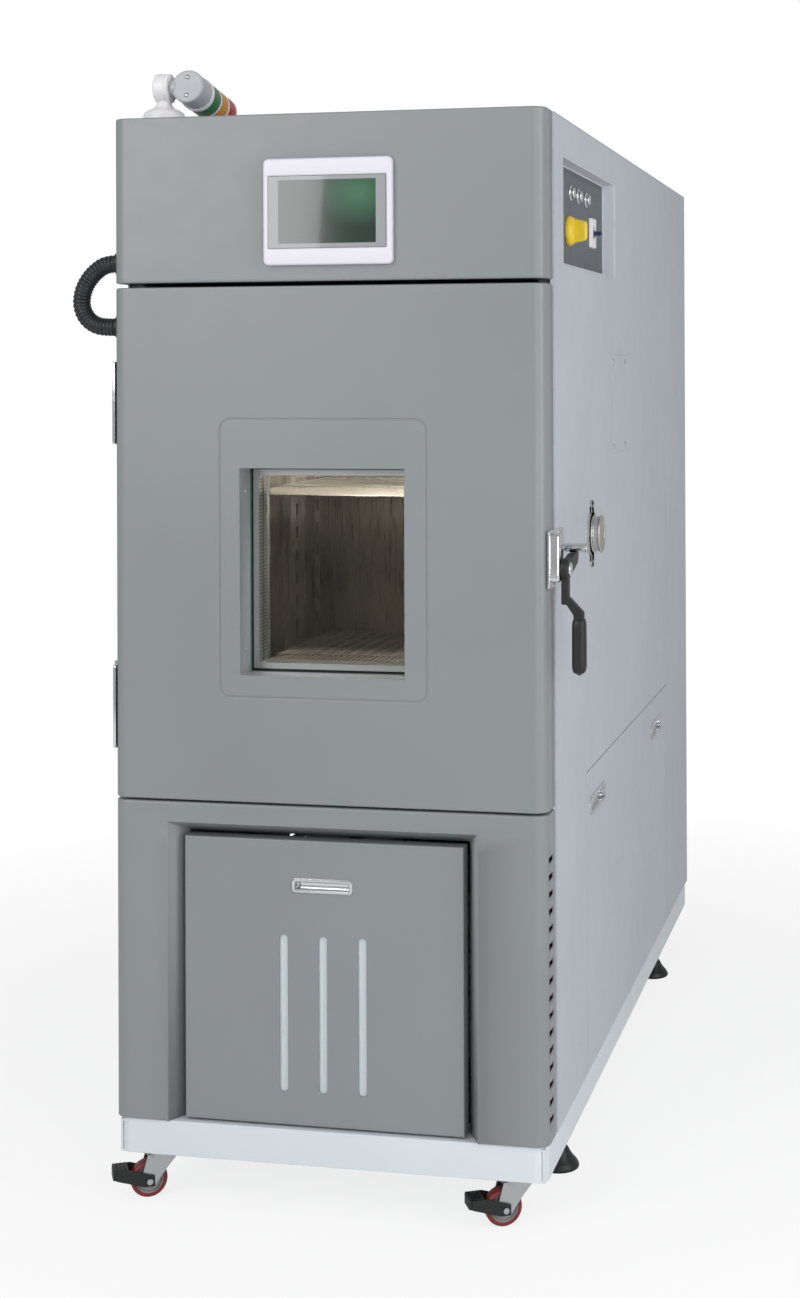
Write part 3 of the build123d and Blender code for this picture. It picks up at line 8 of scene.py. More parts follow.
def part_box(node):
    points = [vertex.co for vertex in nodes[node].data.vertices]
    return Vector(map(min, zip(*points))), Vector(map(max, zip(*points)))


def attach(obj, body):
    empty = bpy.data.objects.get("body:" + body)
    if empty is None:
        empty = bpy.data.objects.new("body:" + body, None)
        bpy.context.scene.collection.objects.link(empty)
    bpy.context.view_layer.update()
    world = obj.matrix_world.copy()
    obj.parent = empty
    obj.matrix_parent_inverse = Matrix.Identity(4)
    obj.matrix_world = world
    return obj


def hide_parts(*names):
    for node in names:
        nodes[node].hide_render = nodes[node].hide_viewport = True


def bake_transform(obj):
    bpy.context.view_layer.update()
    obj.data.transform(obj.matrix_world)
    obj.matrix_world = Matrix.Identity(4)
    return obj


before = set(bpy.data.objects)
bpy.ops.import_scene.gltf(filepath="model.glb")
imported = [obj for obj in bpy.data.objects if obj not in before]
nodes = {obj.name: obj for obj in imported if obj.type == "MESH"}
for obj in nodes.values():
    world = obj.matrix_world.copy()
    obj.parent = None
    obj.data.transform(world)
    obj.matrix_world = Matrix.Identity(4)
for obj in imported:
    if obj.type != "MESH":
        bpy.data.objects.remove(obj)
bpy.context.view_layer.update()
roofLow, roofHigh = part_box("roof_panel")
# the cabinet's own origin in frame metres: halfway across, on the door's face, at the floor
middle = np.array([(roofLow.x + roofHigh.x) / 2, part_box("door_shell")[0].y, 0.0])
print("frame loaded,", len(nodes), "nodes")


# Small tools
def linear(hexColour):
    # each channel over 255, then c/12.92 in the dark part and ((c + 0.055)/1.055)^2.4 above it
    c = np.array([int(hexColour[i:i + 2], 16) for i in (1, 3, 5)]) / 255
    c = np.where(c <= 0.04045, c / 12.92, ((c + 0.055) / 1.055) ** 2.4)
    return (*c.tolist(), 1.0)


def addNode(tree, kind, inputs=None, **settings):
    # a node whose inputs are values or links from other sockets
    node = tree.nodes.new(kind)
    for key, value in settings.items():
        setattr(node, key, value)
    for key, value in (inputs or {}).items():
        if isinstance(value, bpy.types.NodeSocket):
            tree.links.new(value, node.inputs[key])
        else:
            node.inputs[key].default_value = value
    return node


def combined(tree, operation, first, second):
    # two values or sockets put together by one operation
    return addNode(tree, "ShaderNodeMath", {0: first, 1: second}, operation=operation).outputs[0]


def placed(name, data):
    # an object in the scene's own collection
    thing = bpy.data.objects.new(name, data)
    bpy.context.scene.collection.objects.link(thing)
    return thing


def toFrame(points):
    # cabinet millimetres times 0.001, plus the cabinet's own origin in the frame
    return np.asarray(points, float) * 0.001 + middle


def makePiece(name, points, faces, material, body, slot, sharp=35, wall=0.0, also=(), out=None):
    # mesh from millimetre points and faces, welded, turned outwards and smooth up to an edge angle
    mesh = bpy.data.meshes.new(name)
    mesh.from_pydata(toFrame(points).tolist(), [], [list(map(int, f)) for f in faces])
    bm = bmesh.new()
    bm.from_mesh(mesh)
    bmesh.ops.remove_doubles(bm, verts=bm.verts, dist=2e-6)
    bmesh.ops.dissolve_degenerate(bm, edges=bm.edges, dist=1e-7)
    bmesh.ops.recalc_face_normals(bm, faces=bm.faces)
    if out:  # of an open sheet, the face furthest that way is the one to look at
        outer = max(bm.faces, key=lambda f: f.calc_center_median().dot(Vector(out)) + 1e-3 * f.calc_area())
        if outer.normal.dot(Vector(out)) < 0:
            bmesh.ops.reverse_faces(bm, faces=bm.faces)
    bm.to_mesh(mesh)
    bm.free()
    piece = placed(name, mesh)
    mesh.materials.append(material)
    if wall:
        shell = piece.modifiers.new("wall", "SOLIDIFY")
        shell.thickness, shell.offset = wall * 0.001, -1
    mesh.shade_smooth()
    mesh.set_sharp_from_angle(angle=math.radians(sharp))
    if body:
        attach(piece, body)
    if also:
        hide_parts(*also)
    return piece


def gridFaces(nu, nv, wrapV=False, keep=None):
    # cell (i, j) joins points (i, j), (i+1, j), (i+1, j+1), (i, j+1)
    i, j = np.meshgrid(np.arange(nu - 1), np.arange(nv if wrapV else nv - 1), indexing="ij")
    after = (j + 1) % nv
    cells = np.stack([i * nv + j, (i + 1) * nv + j, (i + 1) * nv + after, i * nv + after], -1)
    return cells[keep] if keep is not None else cells.reshape(-1, 4)


def joined(*shapes):
    # several (points, faces) pairs as one; face numbers move up by the points before them
    points, faces, start = [], [], 0
    for p, f in shapes:
        points.append(np.asarray(p, float).reshape(-1, 3))
        faces += [[int(k) + start for k in face] for face in f]
        start += len(points[-1])
    return np.concatenate(points), faces


def axes(direction):
    # two directions across a third, by cross products with an upright or a sideways one
    d = np.asarray(direction, float) / np.linalg.norm(direction)
    side = np.array([0, 0, 1.0]) if abs(d[2]) < 0.9 else np.array([1.0, 0, 0])
    a = np.cross(side, d)
    a /= np.linalg.norm(a)
    return a, np.cross(d, a), d


def eased(profile, radius):
    # inner corners give way to quadratic curves from and to a radius away, at most 0.45 of a run
    p = np.asarray(profile, float)
    out = [p[0]]
    for before, here, after in zip(p, p[1:], p[2:]):
        r1 = min(radius, 0.45 * np.linalg.norm(here - before))
        r2 = min(radius, 0.45 * np.linalg.norm(after - here))
        a = here + (before - here) / max(np.linalg.norm(before - here), 1e-9) * r1
        c = here + (after - here) / max(np.linalg.norm(after - here), 1e-9) * r2
        t = np.linspace(0, 1, 5)[:, None]
        out.extend((1 - t) ** 2 * a + 2 * t * (1 - t) * here + t * t * c)
    out.append(p[-1])
    return np.array(out)


def turned(profile, origin, direction, sides=48, radius=0.8, wave=None):
    # profile of radius and height turned once round an axis; wave scales the radius by angle
    a, b, d = axes(direction)
    prof = eased(profile, radius) if radius else np.asarray(profile, float)
    t = np.arange(sides) * 2 * math.pi / sides
    r = prof[:, 0][:, None] * (wave(t) if wave else np.ones(sides))[None, :]
    h = prof[:, 1][:, None, None]
    points = np.asarray(origin) + r[..., None] * (np.cos(t)[:, None] * a + np.sin(t)[:, None] * b) + h * d
    return points.reshape(-1, 3), gridFaces(len(prof), sides, wrapV=True)


def outline(width, height, corner, arc=6, side=2):
    # rounded rectangle: a quarter circle at each corner, and evenly spaced points on each straight side
    w, h = width / 2 - corner, height / 2 - corner
    t = np.linspace(0, math.pi / 2, arc + 1)
    loops = []
    for k, (cx, cy) in enumerate(((w, h), (-w, h), (-w, -h), (w, -h))):
        loops.append(np.stack([cx + corner * np.cos(t + k * math.pi / 2),
                               cy + corner * np.sin(t + k * math.pi / 2)], -1))
    out = []
    for k in range(4):
        out.extend(loops[k])
        gap = np.linspace(0, 1, side + 1)[1:-1, None]
        out.extend(loops[k][-1] * (1 - gap) + loops[(k + 1) % 4][0] * gap)
    return np.array(out)


def boxShape(x, y, z, edge):
    # upright box with small chamfers: one rounded outline carried through pairs of inset and height
    depth = z[1] - z[0]
    e = min(edge, depth / 3)
    points = []
    for inset, h in ((e, 0), (0, e), (0, depth - e), (e, depth)):
        ring = outline(x[1] - x[0] - 2 * inset, y[1] - y[0] - 2 * inset, max(e + 0.05 - inset, 0.15))
        points.append(np.column_stack([ring + (sum(x) / 2, sum(y) / 2), np.full(len(ring), z[0] + h)]))
    n = len(points[0])
    faces = gridFaces(4, n, wrapV=True).tolist() + [list(range(n)), list(range(3 * n, 4 * n))]
    return np.concatenate(points), faces


def carried(path, radius, sides):
    # round section carried along a path; each ring lies across the path's own direction
    p = np.asarray(path, float)
    t = np.gradient(p, axis=0)
    t /= np.linalg.norm(t, axis=1)[:, None]
    a = np.zeros_like(p)
    ref = axes(t[0])[0]
    for k in range(len(p)):  # the cross direction is the last one with the path's direction taken out
        ref = ref - t[k] * np.dot(ref, t[k])
        ref /= np.linalg.norm(ref)
        a[k] = ref
    b = np.cross(t, a)
    r = np.broadcast_to(np.asarray(radius, float), (len(p),))
    w = np.arange(sides) * 2 * math.pi / sides
    circle = np.cos(w)[None, :, None] * a[:, None] + np.sin(w)[None, :, None] * b[:, None]
    rings = p[:, None] + r[:, None, None] * circle
    faces = gridFaces(len(p), sides, wrapV=True).tolist()
    faces += [list(range(sides)), list(range((len(p) - 1) * sides, len(p) * sides))]
    return rings.reshape(-1, 3), faces


def makeScrews(name, centres, direction, size, body):
    # pan heads of one radius and height: a dome over a polar grid, pressed in along a cross
    radius, height = size
    a, b, d = axes(direction)
    shapes = []
    rings, sides = np.array([0.0, 0.16, 0.3, 0.46, 0.56, 0.75, 0.92, 1.0, 1.0]), 32
    t = np.arange(sides) * 2 * math.pi / sides
    x, y = rings[:, None] * np.cos(t), rings[:, None] * np.sin(t)
    dome = height * np.sqrt(np.clip(1.15 - rings ** 2, 0.15, 1))[:, None] * np.ones(sides)
    cross = ((np.abs(x) < 0.14) | (np.abs(y) < 0.14)) & (rings[:, None] < 0.6)
    dome = np.where(cross, dome - 0.55 * height, dome)
    dome[-1] = 0
    for c in centres:
        across = radius * (x[..., None] * a + y[..., None] * b)
        points = np.asarray(c, float) + across + dome[..., None] * d
        shapes.append((points.reshape(-1, 3), gridFaces(len(rings), sides, wrapV=True)))
    makePiece(name, *joined(*shapes), zinc, body, "zinc")


# Materials
def startMaterial(name):
    # an empty tree with its shader, its output and the object's own coordinates
    material = bpy.data.materials.new(name)
    material.use_nodes = True
    tree = material.node_tree
    tree.nodes.clear()
    shader = addNode(tree, "ShaderNodeBsdfPrincipled")
    addNode(tree, "ShaderNodeOutputMaterial", {"Surface": shader.outputs[0]})
    place = addNode(tree, "ShaderNodeTexCoord").outputs["Object"]
    return material, tree, shader, place


def grainOf(tree, place, sizeMm, detail, stretch=(1, 1, 1)):
    # noise whose grains are about sizeMm across; a stretch below 1 lengthens them along that axis
    scaled = addNode(tree, "ShaderNodeMapping",
                     {"Vector": place, "Scale": tuple(1000.0 / sizeMm * s for s in stretch)})
    return addNode(tree, "ShaderNodeTexNoise",
                   {"Vector": scaled.outputs[0], "Scale": 1.0, "Detail": detail}).outputs["Fac"]


def spread(tree, value, low, high, fromLow=0.3, fromHigh=0.7):
    # a straight ramp: fromLow gives low and fromHigh gives high
    return addNode(tree, "ShaderNodeMapRange", {"Value": value, "From Min": fromLow, "From Max": fromHigh,
                                                "To Min": low, "To Max": high}).outputs[0]


def between(tree, factor, first, second):
    # first times (1 - factor) plus second times factor
    return addNode(tree, "ShaderNodeMix", {0: factor, 6: first, 7: second}, data_type="RGBA").outputs[2]


def bumped(tree, shader, height, depthMm, strength, edgeMm):
    # height times depth bends the normal, which is rounded at edges first
    rounded = addNode(tree, "ShaderNodeBevel", {"Radius": edgeMm * 0.001}, samples=4).outputs[0]
    bump = addNode(tree, "ShaderNodeBump", {"Height": height, "Distance": depthMm * 0.001,
                                            "Strength": strength, "Normal": rounded})
    tree.links.new(bump.outputs[0], shader.inputs["Normal"])


def wearAlong(tree, edgeMm):
    # how far the rounded normal leans from the flat one: 0 on a face, rising at an edge
    rounded = addNode(tree, "ShaderNodeBevel", {"Radius": edgeMm * 0.001}, samples=4).outputs[0]
    flat = addNode(tree, "ShaderNodeNewGeometry").outputs["Normal"]
    lean = addNode(tree, "ShaderNodeVectorMath", {0: rounded, 1: flat},
                   operation="DOT_PRODUCT").outputs["Value"]
    return spread(tree, lean, 1.0, 0.0, 0.86, 0.995)  # cosines of about 31 and 6 degrees


def powderCoat(name, hexColour, roughness, peel=0.05, edge=1.0, lift=0.10):
    # polyester powder baked on sheet steel: an even, slightly pebbled skin with a soft broad highlight
    material, tree, shader, place = startMaterial(name)
    shader.inputs["IOR"].default_value = 1.5
    broad = grainOf(tree, place, 260, 2)
    base = linear(hexColour)
    dark = tuple(c * 0.965 for c in base[:3]) + (1,)
    light = tuple(min(1, c * 1.03) for c in base[:3]) + (1,)
    body = between(tree, spread(tree, broad, 0, 1), dark, light)
    worn = combined(tree, "MULTIPLY", wearAlong(tree, edge), lift)
    colour = between(tree, worn, body, (0.9, 0.9, 0.9, 1))
    tree.links.new(colour, shader.inputs["Base Color"])
    fine = grainOf(tree, place, 1.8, 2)
    tree.links.new(spread(tree, grainOf(tree, place, 40, 3), roughness - 0.03, roughness + 0.04),
                   shader.inputs["Roughness"])
    bumped(tree, shader, fine, peel, 0.5, edge)
    return material


def brushedSteel(name, hexColour, roughness, stretch=(1, 1, 0.02), edge=0.6):
    # stainless sheet, belt brushed: fine lines along one way that spread the reflection across them
    material, tree, shader, place = startMaterial(name)
    shader.inputs["Metallic"].default_value = 1.0
    lines = grainOf(tree, place, 0.9, 3, stretch)
    cloud = grainOf(tree, place, 70, 3)
    base = linear(hexColour)
    dull = tuple(c * 0.9 for c in base[:3]) + (1,)
    tree.links.new(between(tree, spread(tree, cloud, 0, 1), dull, base), shader.inputs["Base Color"])
    tree.links.new(spread(tree, lines, roughness - 0.07, roughness + 0.09), shader.inputs["Roughness"])
    bumped(tree, shader, lines, 0.02, 0.35, edge)
    return material


def plated(name, hexColour, roughness, edge=0.4, grain=9, grainDepth=0.006):
    # electroplated or polished metal: a tight reflection, a little cloudy from handling
    material, tree, shader, place = startMaterial(name)
    shader.inputs["Metallic"].default_value = 1.0
    shader.inputs["Base Color"].default_value = linear(hexColour)
    smudge = grainOf(tree, place, grain, 3)
    tree.links.new(spread(tree, smudge, roughness, roughness + 0.07), shader.inputs["Roughness"])
    bumped(tree, shader, smudge, grainDepth, 0.4, edge)
    return material


def moulded(name, hexColour, roughness, grain=0.6, depth=0.03, edge=0.5, subsurface=0.0):
    # injection-moulded plastic or rubber: a fine even grain from the mould, edges a little paler
    material, tree, shader, place = startMaterial(name)
    shader.inputs["IOR"].default_value = 1.46
    shader.inputs["Subsurface Weight"].default_value = subsurface
    shader.inputs["Subsurface Scale"].default_value = 0.004
    base = linear(hexColour)
    lift = tuple(c * 0.93 + 0.05 for c in base[:3]) + (1,)
    worn = combined(tree, "MULTIPLY", wearAlong(tree, edge), 0.35)
    tree.links.new(between(tree, worn, base, lift), shader.inputs["Base Color"])
    fine = grainOf(tree, place, grain, 2)
    tree.links.new(spread(tree, grainOf(tree, place, 18, 3), roughness - 0.04, roughness + 0.05),
                   shader.inputs["Roughness"])
    bumped(tree, shader, fine, depth, 0.5, edge)
    return material


def boxMask(tree, place, x, z):
    # 1 inside the given millimetre limits, 0 outside
    parts = addNode(tree, "ShaderNodeSeparateXYZ", {0: place}).outputs
    mask = None
    for axis, span in ((0, x), (2, z)):
        for limit, operation in zip(span, ("GREATER_THAN", "LESS_THAN")):
            edge = limit * 0.001 + middle[axis]
            test = combined(tree, operation, parts[axis], edge)
            if mask is not None:
                test = combined(tree, "MULTIPLY", mask, test)
            mask = test
    return mask


def screenGlass(name, clear, border):
    # cover glass over a dark display: deep green in a grey printed border, with a painted reflection to one
    # side, a lighter green patch
    material, tree, shader, place = startMaterial(name)
    shader.inputs["IOR"].default_value = 1.52
    shader.inputs["Coat Weight"].default_value = 0.6
    shader.inputs["Coat Roughness"].default_value = 0.03
    # painted reflection: the colour turns lighter green within about 58 mm of one point on the glass
    centre = addNode(tree, "ShaderNodeVectorMath",
                     {0: place, 1: tuple(toFrame([[clear["reflectionX"], 0, clear["reflectionZ"]]])[0])},
                     operation="SUBTRACT")
    flat = addNode(tree, "ShaderNodeMapping", {"Vector": centre.outputs[0], "Scale": (1, 0, 1.25)})
    away = addNode(tree, "ShaderNodeVectorMath", {0: flat.outputs[0]},
                   operation="LENGTH").outputs["Value"]
    paintedReflection = spread(tree, away, 1, 0, 0.004, 0.058)
    display = between(tree, paintedReflection, linear("#0F2A20"), linear("#3B6B4E"))
    inside = boxMask(tree, place, clear["x"], clear["z"])
    tree.links.new(between(tree, inside, linear(border), display), shader.inputs["Base Color"])
    tree.links.new(spread(tree, inside, 0.38, 0.1, 0, 1), shader.inputs["Roughness"])
    return material


def windowGlass(name):
    # float glass: clear through the face, green where the eye meets its ground edge
    material, tree, shader, place = startMaterial(name)
    shader.inputs["IOR"].default_value = 1.52
    normal = addNode(tree, "ShaderNodeSeparateXYZ",
                     {0: addNode(tree, "ShaderNodeNewGeometry").outputs["True Normal"]}).outputs
    facing = addNode(tree, "ShaderNodeMath", {0: normal[1]}, operation="ABSOLUTE").outputs[0]
    tree.links.new(between(tree, facing, linear("#6FA88C"), linear("#16241E")),
                   shader.inputs["Base Color"])
    tree.links.new(spread(tree, facing, 0.75, 0.03, 0.2, 0.9), shader.inputs["Alpha"])
    tree.links.new(spread(tree, grainOf(tree, place, 60, 2), 0.02, 0.06), shader.inputs["Roughness"])
    return material


def perforatedSpacer(name, pitch):
    # rolled aluminium spacer: small holes a pitch apart let the drying beads breathe; each hole is painted
    # dark, painted shade for the inside of the hollow bar
    material, tree, shader, place = startMaterial(name)
    shader.inputs["Metallic"].default_value = 0.9
    dots = addNode(tree, "ShaderNodeTexVoronoi", {
        "Vector": addNode(tree, "ShaderNodeMapping",
                          {"Vector": place, "Scale": (1000 / pitch,) * 3}).outputs[0],
        "Scale": 1.0, "Randomness": 0.0}, feature="F1")
    # painted shade: the dots of the holes get a dark colour for the shaded inside of the bar
    hole = spread(tree, dots.outputs["Distance"], 1, 0, 0.24, 0.34)
    tree.links.new(between(tree, hole, linear("#C9CCCB"), linear("#2B2E2D")), shader.inputs["Base Color"])
    tree.links.new(spread(tree, hole, 0.32, 0.8, 0, 1), shader.inputs["Roughness"])
    return material


greyPaint = powderCoat("powderCoatedSteelGrey", "#84898C", 0.36, peel=0.05, edge=1.2)
palePaint = powderCoat("powderCoatedSteelPaleBlueGrey", "#B3BAC1", 0.42, peel=0.05, edge=0.9)
plinthPaint = powderCoat("powderCoatedSteelWhiteGrey", "#D3DADF", 0.42, peel=0.05, edge=1.0)
stainless = brushedSteel("brushedStainlessSteel", "#C4C2BD", 0.30)
stainlessAcross = brushedSteel("brushedStainlessSteelAcross", "#C9C8C4", 0.28, stretch=(0.02, 1, 1))
chrome = plated("chromedZincCasting", "#D9DBDD", 0.09)
zinc = plated("zincPlatedSteel", "#B9BCBE", 0.30, grain=2.5, grainDepth=0.02)
castAluminium = plated("castAluminium", "#9B9D9E", 0.45, grain=1.5, grainDepth=0.06)
whiteAbs = moulded("whiteAbs", "#E6E4E6", 0.34, grain=0.8, depth=0.02)
bezelAbs = moulded("lilacWhiteAbs", "#DBD9E2", 0.40, grain=0.7, depth=0.02, edge=0.8)
greyAbs = moulded("lightGreyAbs", "#AEB1B5", 0.36, grain=0.8, depth=0.02)
blackAbs = moulded("blackNylon", "#1A1B1C", 0.42, grain=0.7, depth=0.04)
hoseRubber = moulded("blackCorrugatedPolyamide", "#232527", 0.38, grain=0.5, depth=0.02)
sealRubber = moulded("whiteSiliconeRubber", "#D8D7D2", 0.55, grain=1.2, depth=0.05)
tyreUrethane = moulded("maroonPolyurethane", "#7A2A28", 0.34, grain=0.9, depth=0.03)
hubNylon = moulded("greyNylon", "#8E8A8A", 0.4, grain=0.8, depth=0.03)
yellowAbs = moulded("yellowAbs", "#E8C93A", 0.30, grain=0.8, depth=0.02)
blueAbs = moulded("darkBlueAbs", "#1D2A57", 0.34, grain=0.8, depth=0.02)
tankPe = moulded("whitePolyethylene", "#E4E6E4", 0.45, grain=1.5, depth=0.05, subsurface=0.25)
trayPaint = powderCoat("powderCoatedSteelTray", "#CDD2D8", 0.45, edge=0.8)
platePaint = powderCoat("powderCoatedSteelDarkGrey", "#565C62", 0.48, edge=0.5)
compressorEnamel = powderCoat("blackEnamel", "#1E1F21", 0.3, peel=0.03)
foamPu = moulded("polyurethaneFoam", "#E3D6A8", 0.85, grain=1.6, depth=0.5)
finAluminium = brushedSteel("rolledAluminiumFin", "#C8CBCD", 0.4)
greenLens = moulded("greenPolycarbonate", "#136B38", 0.16, grain=6, depth=0.02, subsurface=0.1)
amberLens = moulded("amberPolycarbonate", "#C9861C", 0.16, grain=6, depth=0.02, subsurface=0.1)
redLens = moulded("redPolycarbonate", "#A8221C", 0.16, grain=6, depth=0.02, subsurface=0.1)
frostedAcrylic = moulded("frostedAcrylic", "#C9D0D2", 0.5, grain=2.0, depth=0.04, subsurface=0.3)
darkGap = moulded("blackFoamTape", "#17181A", 0.8, grain=1.2, depth=0.2)
# reflectionX and reflectionZ place the centre of the screen's painted reflection
displayGlass = screenGlass("displayCoverGlass", dict(x=(-61, 74), z=(1295.5, 1380), reflectionX=52, reflectionZ=1362),
                           "#8F9296")
paneGlass = windowGlass("clearFloatGlass")
spacerBar = perforatedSpacer("perforatedAluminiumSpacer", 4.6)
print("materials made")

finishes = (
    (plinthPaint, "base_frame"),
    (palePaint, "left_side_panel right_side_panel roof_panel rear_cover access_panel"),
    (greyPaint, "header_fascia lower_fascia door_shell window_frame drawer_front"),
    (stainless, "chamber_liner air_duct_plate shelf_uprights door_liner"),
    (stainlessAcross, "shelves test_port test_port_cap"),
    (chrome, "push_button_1 push_button_2 push_button_3 lock_paddle_front lock_paddle_rear"),
    (chrome, "latch_strike latch_base cabinet_hinge_leaves door_hinge_leaves"),
    (zinc, "circulation_fan drawer_runners caster_fork"),
    (castAluminium, "fan_motor"),
    (finAluminium, "condenser_fan"),
    (compressorEnamel, "refrigeration_unit"),
    (foamPu, "chamber_insulation"),
    (bezelAbs, "screen_bezel"),
    (displayGlass, "touch_screen"),
    (paneGlass, "window_panes"),
    (trayPaint, "control_tray"),
    (yellowAbs, "main_switch_knob"),
    (blueAbs, "breaker_toggle"),
    (blackAbs, "latch_lever brake_pedal levelling_foot"),
    (sealRubber, "door_gasket"),
    (whiteAbs, "lamp_base"),
    (greyAbs, "lamp_housing"),
    (greenLens, "lamp_lenses"),
    (hoseRubber, "cable_hose"),
    (tankPe, "water_tank"),
    (tyreUrethane, "caster_wheel"),
)
# casters, pedals and feet come once per corner, so a node takes the finish of the name that it ends with
finishOf = {ending: finish for finish, endings in finishes for ending in endings.split()}
for name, node in nodes.items():
    finish = next(finishOf[ending] for ending in finishOf if name.endswith(ending))
    node.data.materials.clear()
    node.data.materials.append(finish)


# Cable hose
hose = dict(side=-300.0, radius=12.2, rib=1.5, pitch=5.2, y=30.0, route=(
    (5.3, 1274.5), (20.0, 1274.5), (35.0, 1266.0), (48.5, 1252.0), (56.5, 1235.0),
    (58.0, 1217.0), (51.0, 1200.5), (37.0, 1190.0), (20.5, 1187.5), (5.3, 1187.5)))


def hosePath():
    # a quadratic spline over the route's points, sampled as a line in metres
    curve = bpy.data.curves.new("hoseRoute", "CURVE")
    curve.dimensions = "3D"
    curve.resolution_u = 24
    spline = curve.splines.new("NURBS")
    points = toFrame([(hose["side"] - out, hose["y"], z) for out, z in hose["route"]])
    spline.points.add(len(points) - 1)
    spline.points.foreach_set("co", np.column_stack([points, np.ones(len(points))]).ravel())
    spline.order_u = 3
    spline.use_endpoint_u = True
    holder = placed("hoseRoute", curve)
    mesh = bpy.data.meshes.new_from_object(holder.evaluated_get(bpy.context.evaluated_depsgraph_get()))
    line = np.array([v.co[:] for v in mesh.vertices])
    bpy.data.objects.remove(holder)
    return line


def makeHose():
    # a round section carried along the route, its radius a rectified sine of the run to the power 0.6
    line = hosePath()
    run = np.concatenate([[0], np.cumsum(np.linalg.norm(np.diff(line, axis=0), axis=1))])
    s = np.linspace(0, run[-1], 420)
    path = np.column_stack([np.interp(s, run, line[:, k]) for k in range(3)])
    # rings stand proud on a smaller tube: radius falls by rib between crests, one crest each pitch
    wave = np.abs(np.sin(math.pi * s * 1000 / hose["pitch"])) ** 0.6
    radius = hose["radius"] - hose["rib"] * (1 - wave)
    points, faces = carried((path - middle) * 1000, radius, sides=28)
    piece = makePiece("bellowsHose", points, faces, hoseRubber, None, "hose_rubber", sharp=80,
                      also=("cable_hose",))
    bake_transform(piece)  # its placement is applied to its mesh; the hose is attached to no body
    print("hose", round(run[-1] * 1000, 1), "mm long")


makeHose()


# directions of width, height and depth for shapes that face the front, the right side or upwards
front = ((1, 0, 0), (0, 0, 1), (0, -1, 0))
right = ((0, 1, 0), (0, 0, 1), (1, 0, 0))
upward = ((1, 0, 0), (0, 1, 0), (0, 0, 1))


def loops(rows, facing, arc=5, first=True, last=True):
    # each row is a rounded rectangle (across, up, depth, corner); neighbours are joined, ends filled
    a, b, d = (np.asarray(v, float) for v in facing)
    points = []
    for across, up, depth, corner in rows:
        ring = outline(across[1] - across[0], up[1] - up[0], corner, arc, side=1)
        u, v = ring[:, :1] + sum(across) / 2, ring[:, 1:] + sum(up) / 2
        points.append(u * a + v * b + depth * d)
    n = len(points[0])
    faces = gridFaces(len(rows), n, wrapV=True).tolist()
    faces += [list(range(n))] * first + [list(range((len(rows) - 1) * n, len(rows) * n))] * last
    return np.concatenate(points), faces


def shrunk(span, by):
    # the span moved in by the same amount at both ends
    return (span[0] + by, span[1] - by)


def about(centre, half):
    # the span from half below a centre to half above it
    return (centre - half, centre + half)


def stepped(across, up, steps):
    # one outline repeated at (inset, depth, corner) steps
    return [(shrunk(across, inset), shrunk(up, inset), depth, corner) for inset, depth, corner in steps]


def pad(across, up, base, top, corner, edge, facing):
    # flat-backed block whose front edge follows a quarter circle in four steps
    rows = [(across, up, base, corner)]
    for t in np.linspace(0, math.pi / 2, 4):
        inset = edge * (1 - math.cos(t))
        rows.append((shrunk(across, inset), shrunk(up, inset), top - edge + edge * math.sin(t),
                     max(corner - inset, 0.1)))
    return loops(rows, facing)


def prism(corners, depth, facing, edge):
    # flat outline drawn out between two depths; near both ends it shrinks about its middle by the edge
    p = np.asarray(corners, float)
    centre = p.mean(axis=0)
    reach = np.linalg.norm(p - centre, axis=1).max()
    a, b, d = (np.asarray(v, float) for v in facing)
    points = []
    for inset, h in ((edge, depth[0]), (0, depth[0] + edge), (0, depth[1] - edge), (edge, depth[1])):
        q = centre + (p - centre) * (1 - inset / reach)
        points.append(q[:, :1] * a + q[:, 1:] * b + h * d)
    n = len(p)
    faces = gridFaces(4, n, wrapV=True).tolist() + [list(range(n)), list(range(3 * n, 4 * n))]
    return np.concatenate(points), faces


# Pressed front panels
panels = dict(half=300.0, corner=18.0, back=47.8, roll=2.4, strip=1.0, wall=2.3, header=(1246.0, 1470.0),
              door=(550.0, 1240.0), fascia=(117.0, 547.0))
flank = panels["half"]  # the side faces stand this far from the middle
plateFace = flank + 3.0  # and thin plates on them stand out this far
faceHalf = flank - panels["corner"] - panels["strip"]  # half the face between the strips beside its bends


def panelPlan(inset, angles):
    # plan seen from above: left return, quarter circle, face, quarter circle, right return, less inset
    half, corner = panels["half"] - inset, panels["corner"] - inset
    c, s = corner * np.cos(angles), corner * np.sin(angles)
    left = np.stack([-half + corner - c, panels["corner"] - s], -1)
    rightSide = np.stack([half - corner + c, panels["corner"] - s], -1)[::-1]
    return left, rightSide


def pressing(levels, sideY=(), faceX=(), angles=None, rows=()):
    # rows of the plan at each height; the end rows move in along a quarter circle of the roll
    angles = np.linspace(0, math.pi / 2, 9) if angles is None else angles
    roll, lip = panels["roll"], panels["roll"] + panels["strip"]
    steps = [(roll * (1 - math.sin(t)), roll * (1 - math.cos(t))) for t in np.linspace(0, math.pi / 2, 4)]
    low = [(inset, levels[0] + up) for inset, up in steps]
    high = [(inset, levels[1] - up) for inset, up in steps[::-1]]
    heights = low + [(0.0, z) for z in (levels[0] + lip, *rows, levels[1] - lip)] + high
    # a narrow strip beside each bend keeps the face flat to the light
    faceX = (-faceHalf, *faceX, faceHalf)
    points = []
    for inset, z in heights:
        left, rightSide = panelPlan(inset, angles)
        y = np.array([panels["back"], *sideY])
        edge = panels["half"] - inset
        plan = np.concatenate([
            np.column_stack([np.full(len(y), -edge), y]), left,
            np.column_stack([np.asarray(faceX, float), np.full(len(faceX), inset)]).reshape(-1, 2),
            rightSide,
            np.column_stack([np.full(len(y), edge), y[::-1]])])
        points.append(np.column_stack([plan, np.full(len(plan), z)]))
    n = len(points[0])
    ends = [list(range(n)), list(range((len(heights) - 1) * n, len(heights) * n))]
    return np.array(points), heights, ends


